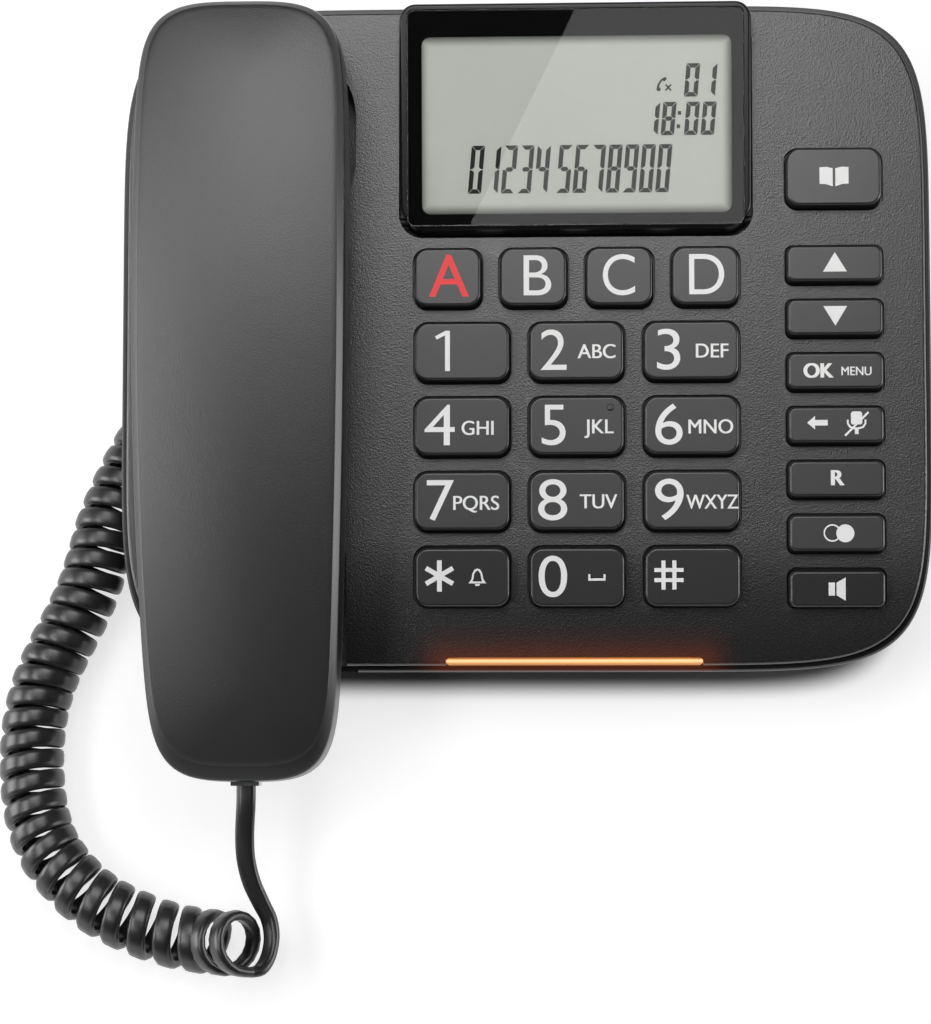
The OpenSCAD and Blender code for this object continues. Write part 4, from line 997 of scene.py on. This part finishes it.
# Display module: p runs along its face from the hinge, q stands square to it
display = {"x": 14.0, "hingeV": 31.3, "hingeW": -1.6, "rise": 5.0, "w": 95.2, "l": 59.0, "t": 4.1,
           "front": -1.2, "cornerR": 4.4, "frontR": 6.0, "edge": 0.9, "barrelR": 4.1, "barrelShort": 1.8,
           "barrelEnd": 7.0, "pinR": 1.25, "pinIn": 3.6, "glassW": 91.3, "glassP": (-1.2, 57.4), "glassT": 1.3,
           "screenW": 84.8, "screenP": (2.0, 50.0), "digitsQ": 2.6}
displayPlace = (deckPlace @ Matrix.Translation((display["x"], display["hingeV"], display["hingeW"]))
                @ Matrix.Rotation(math.radians(display["rise"]), 4, "X"))


def makeBarrel(half, r):
    ends, sides, run = 12, 64, display["barrelEnd"]
    turns = [math.pi / 2 * k / ends for k in range(ends)]
    stops = [(-half + run * (1 - math.cos(a)), r * math.sin(a) ** 0.8) for a in turns]
    stops += [(-half + run + (half - run) * 2 * k / 12, r) for k in range(13)]
    stops += [(half - run + run * math.sin(a), r * math.cos(a) ** 0.8) for a in turns[1:]] + [(half, 0)]

    def form(i, j):
        x, reach = stops[j]
        a = 2 * math.pi * i / sides
        return Vector((x, max(0.02, reach) * math.cos(a), max(0.02, reach) * math.sin(a)))
    return wrapGrid("barrel", sides, len(stops) - 1, form)


def pinHole(side):
    deep = display["pinIn"] + 1
    place = (side * (display["w"] / 2 - display["pinIn"] + deep / 2), 0, 0)
    bpy.ops.mesh.primitive_cylinder_add(vertices=32, radius=display["pinR"], depth=deep,
                                        rotation=(0, math.pi / 2, 0), location=place)
    return applied(newest("pinHole"))


def panel(name, w, span, r, low, high, x=0, steps=8):
    return roundBlock(name, w, span[1] - span[0], r, low, high, (x, (span[0] + span[1]) / 2), steps)


def makeDisplayFrame():
    w, l, t, front = (display[size] for size in ("w", "l", "t", "front"))
    slab = t - 0.01
    piece = block("display_surround", (w, l - front, slab), (0, (l + front) / 2, slab / 2))
    openUp(piece)
    pick(piece, "EDGE", lambda e: isUpright(e) and e.verts[0].co.y > 0)
    bevelEdges(display["cornerR"], 10)
    pick(piece, "EDGE", lambda e: isUpright(e) and e.verts[0].co.y < front + 0.01)
    bevelEdges(display["frontR"], 10)
    closeUp()
    soften(piece, display["edge"], 4, 50)
    carve(piece, makeBarrel(w / 2 - display["barrelShort"], display["barrelR"]), "UNION")
    low, high = display["glassP"]
    carve(piece, panel("glassSeat", display["glassW"] + 0.2, (low - 0.1, high + 0.1), 2.0, t - 1.5, t + 2))
    low, high = display["screenP"]
    carve(piece, panel("opening", display["screenW"] + 3.4, (low - 1.7, high + 1.7), 1.0, -1, t, steps=4))
    carve(piece, joined("pinHoles", [pinHole(side) for side in (-1, 1)]))
    smoothOver(piece, 35)
    settle(piece, displayPlace, [frameGloss], "display", ["display_frame"])


def makeWindow():
    low, high = display["glassP"]
    top = display["t"] - 0.1
    under = top - display["glassT"]
    pane = panel("display_pane", display["glassW"], (low, high), 1.9, under, top)
    smoothOver(soften(pane, 0.25, 3, 50), 40)
    settle(pane, displayPlace, [windowGlass], "display", ["display_window"])
    mask = panel("window_mask", display["glassW"] - 0.6, (low + 0.3, high - 0.3), 1.7, under - 0.12,
                 under - 0.02)
    carve(mask, panel("view", display["screenW"] - 0.9, display["screenP"], 2.4, top - 2, top, 0.35))
    settle(mask, displayPlace, [maskBlack], "display")


segmentSets = {"0": "abcdef", "1": "bc", "2": "abged", "3": "abgcd", "4": "fgbc", "5": "afgcd", "6": "afgedc",
               "7": "abc", "8": "abcdefg", "9": "abcdfg"}
screenRows = [  # digits, their places along the line, height on the face, digit width and height
    ("012345678900", [-29.2 + k * 4.48 + (1.5 if k > 4 else 0) for k in range(12)], 7.5, 3.6, 13.0),
    ("01", (29.4, 34.1), 33.3, 3.7, 9.0), ("1800", (18.7, 23.1, 29.4, 33.9), 22.9, 3.6, 9.0)]
colon = [box2(27.5, 24.8, 28.4, 25.8), box2(27.8, 28.4, 28.7, 29.4)]
receiver = [(22.0, 35.2), (22.3, 36.6), (23.2, 38.0), (24.4, 38.7), (24.9, 38.2), (24.3, 37.5), (23.6, 37.7),
            (22.9, 36.6), (22.8, 35.8), (23.3, 35.4), (22.8, 34.7)]
cross = [bar(24.5, 35.0, 26.0, 36.6, 0.45), bar(24.5, 36.6, 26.0, 35.0, 0.45)]


def segmentOutlines(digit, x, y, w, h, t=1.2, cut=0.13, slant=0.09):
    half = h / 2
    above, below = half + t / 2, half - t / 2
    shapes = {
        "a": [(cut, h), (w - cut, h), (w - t, h - t), (t, h - t)],
        "d": [(cut, 0), (t, t), (w - t, t), (w - cut, 0)],
        "g": [(t * 0.6, half), (t, above), (w - t, above), (w - t * 0.6, half), (w - t, below), (t, below)],
        "f": [(0, h - cut), (0, half + cut), (t * 0.5, half + cut), (t, above + cut), (t, h - t - cut)],
        "e": [(0, half - cut), (0, cut), (t, t + cut), (t, below - cut), (t * 0.5, half - cut)]}
    shapes["b"] = [(w - a, b) for a, b in shapes["f"]]
    shapes["c"] = [(w - a, b) for a, b in shapes["e"]]
    return [[(x + a + slant * b, y + b) for a, b in shapes[s]] for s in segmentSets[digit]]


def makeScreenDigits():
    lines = [line for text, places, y, w, h in screenRows for digit, x in zip(text, places)
             for line in segmentOutlines(digit, x, y, w, h)]
    piece = joined("screen_digits", [stamp([line], 0.06) for line in lines + colon + [receiver] + cross])
    place = displayPlace @ Matrix.Translation((0, 0, display["digitsQ"]))
    settle(piece, place, [segmentBlack], "display")


makeDisplayFrame()
makeWindow()
makeScreenDigits()
print("display made")


# Handset covers: rings of one plan, each at its own inset and height
handset = {"x": -74.5, "rear": 87.3, "front": -120.6, "w": 57.0, "curve": 0.00022, "top": 34.0, "fall": 10.22,
           "crown": 2.0, "side": 2.4, "sideFront": 5.2, "sideRear": 2.1, "part": 13.0, "wall": 2.2,
           "gripGap": 12.0, "endsLeast": 0.03, "ventPitch": 4.5}
cup = {"v": 55, "lowR": 22, "highR": 23.5, "low": -11, "high": 2.3, "roomR": 18.5}
stationCount = 96


def makeStations():
    sines = [math.sin(math.pi / 2 * (2 * (k + 0.5) / stationCount - 1)) for k in range(stationCount)]
    return [math.copysign(abs(s) ** 0.8, s) * 0.99995 for s in sines]


stations = makeStations()


def spineW(v):
    return handset["top"] - handset["fall"] * ((v - 10) / 100) ** 2


def creaseW(v):
    return spineW(v) - handset["crown"]


def seamW(v):
    return spineW(v) - handset["part"]


def underW(v):  # the grip arches over the base between the ear cup and the mouthpiece
    return (handset["gripGap"] - 10.8 * blendShare(v, 10, 26) - 20 * blendShare(-v, 46, 62)
            + 5 * blendShare(-v, 106, 121))


def handsetPoint(i, side, front, rear, height, mouth=0.0, share=1.0):
    right = i < stationCount
    t = stations[i if right else 2 * stationCount - 1 - i]
    v = lerp(handset["front"] + front, handset["rear"] - rear, (t + 1) / 2)
    half = handset["w"] / 2 - handset["curve"] * (v - 15) ** 2 - side - mouth * blendShare(-v, 38, 54)
    x = share * half * (1 - abs(t) ** 14) ** 0.29
    return Vector((handset["x"] + (x if right else -x), v, height(v)))


def coverRing(side, front, rear, height, lift=0.0, mouth=0.0, share=1.0):
    return lambda i: handsetPoint(i, side, front, rear, lambda v: height(v) + lift, mouth, share)


def backRing(k, drop):
    ends = max(k, handset["endsLeast"])
    front, rear = lerp(28, handset["sideFront"], ends), lerp(26, handset["sideRear"], ends)
    rise = handset["crown"] * (1 - ends * ends) - drop
    return coverRing(handset["side"], front, rear, creaseW, rise, share=k)


def underRing(k, lift):
    ends = max(k, handset["endsLeast"])
    return coverRing(3.4, lerp(28, 6, ends), lerp(26, 3.4, ends), underW, lift, 0.8, k)


def underOrSeam(lift, below):
    return lambda v: min(underW(v) + lift, seamW(v) - below)


def makeCover(name, rings):
    return wrapGrid(name, 2 * stationCount, len(rings) - 1, lambda i, j: rings[j](i))


def plugNotch():
    return block("notch", (8.6, 16, 7.6), (handset["x"], handset["front"] + 4, 4))


def makeOuterCover():
    wall = handset["wall"]
    rings = [backRing(k, wall) for k in (0, 0.03, 0.3, 0.6, 0.85, 0.93)]
    rings += [coverRing(*ring) for ring in (
        (wall + 0.6, wall + 1, wall + 0.8, creaseW, -4.5), (wall, wall, wall, seamW, 0.3),
        (wall, wall, wall, seamW, 0.08), (0.35, 0.35, 0.35, seamW, 0.08), (0.05, 0.05, 0.05, seamW, 0.35),
        (0, 0, 0, seamW, 0.9), (0.1, 0.1, 0.1, creaseW, -6.5), (0.25, 0.2, 0.2, creaseW, -3.2),
        (0.42, 0.42, 0.42, creaseW, -2.1), (0.7, 1.0, 0.7, creaseW, -1.6), (2.0, 4.3, 1.7, creaseW, -0.35),
        (2.2, 4.8, 1.95, creaseW, -0.14))]
    rings += [backRing(k, 0) for k in (0.985, 0.95, 0.88, 0.8, 0.65, 0.5, 0.35, 0.2, 0.1, 0.03, 0)]
    piece = carve(makeCover("handset_back", rings), plugNotch())
    smoothOver(piece, 24)
    settle(piece, deckPlace, [grip, gripSide], "handset", ["handset_outer_cover"])
    for face in piece.data.polygons:
        middle = deckPlace.inverted() @ face.center
        if middle.z < creaseW(middle.y) - 0.42:
            face.material_index = 1


def earCup():
    low, high = cup["low"], cup["high"]
    bpy.ops.mesh.primitive_cone_add(vertices=96, radius1=cup["lowR"], radius2=cup["highR"], depth=high - low,
                                    location=(handset["x"], cup["v"], (low + high) / 2))
    return soften(applied(newest("cup")), 0.8, 4, 60)


def innerHoles():
    x, pitch = handset["x"], handset["ventPitch"]
    holes = []
    for n in range(3):
        for k in range(max(1, 6 * n)):
            a = math.radians(k * 60 / max(1, n))
            spot = (x + pitch * n * math.cos(a), cup["v"] + pitch * n * math.sin(a))
            holes.append(rod("sound", 1.1, -13, -8, spot, 16))
    holes += [rod("sound", 0.8, -10, -5, (x + 3 * n, -96), 16) for n in (-1, 0, 1)]
    holes += [rod("screwWell", 3.2, underW(v) - 1, underW(v) + 2.4, (x, v), 32) for v in (6, -40)]
    return joined("sounds", holes)


def makeInnerCover():
    wall = handset["wall"]
    rings = [underRing(k, 0) for k in (0, 0.03, 0.3, 0.6, 0.85)] + [underRing(1, 0.4)]
    rings += [coverRing(*ring) for ring in (
        (2.5, 4.2, 2.5, underW, 1.3, 0.85), (1.7, 2.6, 1.7, underW, 2.8, 0.9),
        (0.95, 1.4, 0.95, underOrSeam(5.4, 3), 0, 0.95), (0.5, 0.6, 0.5, underOrSeam(8.3, 1.5), 0, 1.0),
        (0.05, 0.05, 0.05, seamW, -0.5), (0.3, 0.3, 0.3, seamW, -0.08), (wall, wall, wall, seamW, -0.08),
        (wall + 1.3, wall + 2, wall + 1.3, underOrSeam(wall + 4, 1), 0, 0.9))]
    rings += [underRing(k, wall) for k in (0.9, 0.5, 0.25, 0.03, 0)]
    piece = makeCover("handset_front", rings)
    carve(piece, earCup(), "UNION")
    carve(piece, rod("cupRoom", cup["roomR"], -9, 19, (handset["x"], cup["v"]), 96))
    carve(piece, innerHoles())
    carve(piece, plugNotch())
    smoothOver(piece, 35)
    settle(piece, deckPlace, [gripSide], "handset", ["handset_inner_cover"])


makeOuterCover()
makeInnerCover()
print("handset made")


# Finishes of the carried-over nodes
finishes = {
    rubber: ["rubber_feet"], screwSteel: ["base_screws", "handset_screws"], amber: ["light_bar"],
    boardGreen: ["main_board", "light_board", "display_board"], membraneGrey: ["keypad_membrane"],
    steel: ["ballast_plate", "handset_weight"], darkSteel: ["display_hinge_pins"],
    screenGrey: ["screen_panel"], plugClear: ["base_plug", "handset_plug"],
    socketBlack: ["base_cord_socket", "line_socket", "handset_cord_socket", "hook_switch"],
    innerDark: ["loudspeaker", "hook_plunger", "display_rear_cover", "receiver_capsule",
                "microphone_capsule"]}
for material, names in finishes.items():
    for name in names:
        slots = nodes[name].data.materials
        for k in range(len(slots)):
            slots[k] = material
        if not len(slots):
            slots.append(material)


def paintScreenEdgeShade():  # painted shade: the screen gets darker towards the window's border, where the mask's edge shades it
    tree = screenGrey.node_tree
    shader = tree.nodes["Principled BSDF"]
    place, turn, size = (displayPlace.inverted() @ nodes["screen_panel"].matrix_world).decompose()
    frameOfFace = {"Vector": objectPlace(tree), "Location": place, "Rotation": turn.to_euler(), "Scale": size}
    onFace = addNode(tree, "ShaderNodeMapping", frameOfFace, vector_type="POINT")
    x, y, z = axes(tree, onFace.outputs["Vector"])
    low, high = display["screenP"]
    sideways = doMath(tree, "SUBTRACT", display["screenW"] / 2, doMath(tree, "ABSOLUTE", x))
    fromMiddle = doMath(tree, "ABSOLUTE", doMath(tree, "SUBTRACT", y, (low + high) / 2))
    lengthways = doMath(tree, "SUBTRACT", (high - low) / 2, fromMiddle)
    dark = ramp(tree, doMath(tree, "MINIMUM", sideways, lengthways), -0.4, 3.0, 0.8, 0.0)
    plain = shader.inputs["Base Color"].links[0].from_socket
    plugIn(tree, shader, {"Base Color": blend(tree, dark, plain, (0, 0, 0, 1))})


paintScreenEdgeShade()


# Floor, world and lamps
# halfW, halfL, y and fade place a painted shadow on the floor under the base; under and dark set its grey and
# depth
floorLook = {"colour": 0.42, "under": 0.1, "glow": 0.72, "halfW": 104.0, "halfL": 87.1, "y": 11.7,
             "fade": 3.3, "dark": 0.8}
worldLook = {"ceiling": 0.36, "dark": 0.03, "seen": 0.82, "lighting": 0.18}


def grey(value):
    return (value, value, value, 1)


def seenDirectly(tree):
    rays = addNode(tree, "ShaderNodeLightPath").outputs
    either = doMath(tree, "MAXIMUM", rays["Is Camera Ray"], rays["Is Glossy Ray"])
    return doMath(tree, "MAXIMUM", either, rays["Is Transmission Ray"])


def paintedBaseShadow(tree):  # painted shadow: 1 under the base's plan and 0 outside it
    x, y, z = axes(tree, objectPlace(tree))
    across = doMath(tree, "DIVIDE", x, floorLook["halfW"] * mm)
    along = doMath(tree, "DIVIDE", doMath(tree, "SUBTRACT", y, floorLook["y"] * mm), floorLook["halfL"] * mm)
    parts = [doMath(tree, "POWER", doMath(tree, "ABSOLUTE", run), base[bend])
             for run, bend in ((across, "xPower"), (along, "vPower"))]
    out = doMath(tree, "POWER", doMath(tree, "ADD", *parts), 2 / (base["xPower"] + base["vPower"]))
    fade = floorLook["fade"] / floorLook["halfL"]
    return ramp(tree, out, 1 - fade, 1 + fade, 1.0, 0.0)


def makeFloor():
    bpy.ops.mesh.primitive_plane_add(size=6, location=(0, 0, 0))
    floor = newest("floor")
    material, tree, shader = newMaterial("paleFloor")
    # painted contact shadow: under the base the floor's colour darkens and its glow drops
    shade = paintedBaseShadow(tree)
    glow = doMath(tree, "MULTIPLY", doMath(tree, "SUBTRACT", 1.0, shade), floorLook["glow"])
    pale = blend(tree, doMath(tree, "MULTIPLY", shade, floorLook["dark"]), grey(floorLook["colour"]),
                 grey(floorLook["under"]))
    glow = doMath(tree, "MULTIPLY", seenDirectly(tree), glow)
    plugIn(tree, shader, {"Base Color": pale, "Roughness": 0.9, "Specular IOR Level": 0.1,
                          "Emission Color": grey(1), "Emission Strength": glow})
    floor.data.materials.append(material)


def makeWorld():
    world = bpy.data.worlds.new("studio")
    bpy.context.scene.world = world
    world.use_nodes = True
    tree = world.node_tree
    way = addNode(tree, "ShaderNodeTexCoord").outputs["Generated"]
    height = ramp(tree, axes(tree, way)["Z"], 0.0, worldLook["ceiling"])
    strength = doMath(tree, "MULTIPLY_ADD", seenDirectly(tree), worldLook["seen"], worldLook["lighting"])
    plugIn(tree, tree.nodes["Background"], {"Color": blend(tree, height, grey(1), grey(worldLook["dark"])),
                                            "Strength": strength})


def lamp(name, place, aim, size, brightness, turn=0.0):
    light = bpy.data.lights.new(name, "AREA")
    light.shape = "RECTANGLE"
    light.size, light.size_y = size
    light.energy = brightness * math.pi * size[0] * size[1]
    item = bpy.data.objects.new(name, light)
    bpy.context.scene.collection.objects.link(item)
    run = Vector(aim) - Vector(place)
    item.matrix_world = (Matrix.Translation(place) @ run.to_track_quat("-Z", "Y").to_matrix().to_4x4()
                         @ Matrix.Rotation(math.radians(turn), 4, "Z"))


makeFloor()
makeWorld()
lamp("overheadSoftbox", (-0.04, 0.29, 0.8), (-0.04, 0.289, 0), (0.5, 0.5), 4.0)
lamp("rightSoftbox", (0.8, -0.07, 0.24), (0, -0.07, 0.16), (0.42, 0.46), 4.6)
lamp("leftSoftbox", (-0.8, -0.05, 0.24), (-0.1, -0.05, 0.2), (0.5, 0.4), 5.5)
lamp("leftStripCard", (-0.56, -0.12, 0.8), (-0.56, -0.121, 0), (0.3, 0.66), 6.0)
lamp("glareCard", (0.112, -0.123, 1.2), (0.112, -0.122, 0), (0.30, 0.42), 0.85, -26.5)
print("studio made")
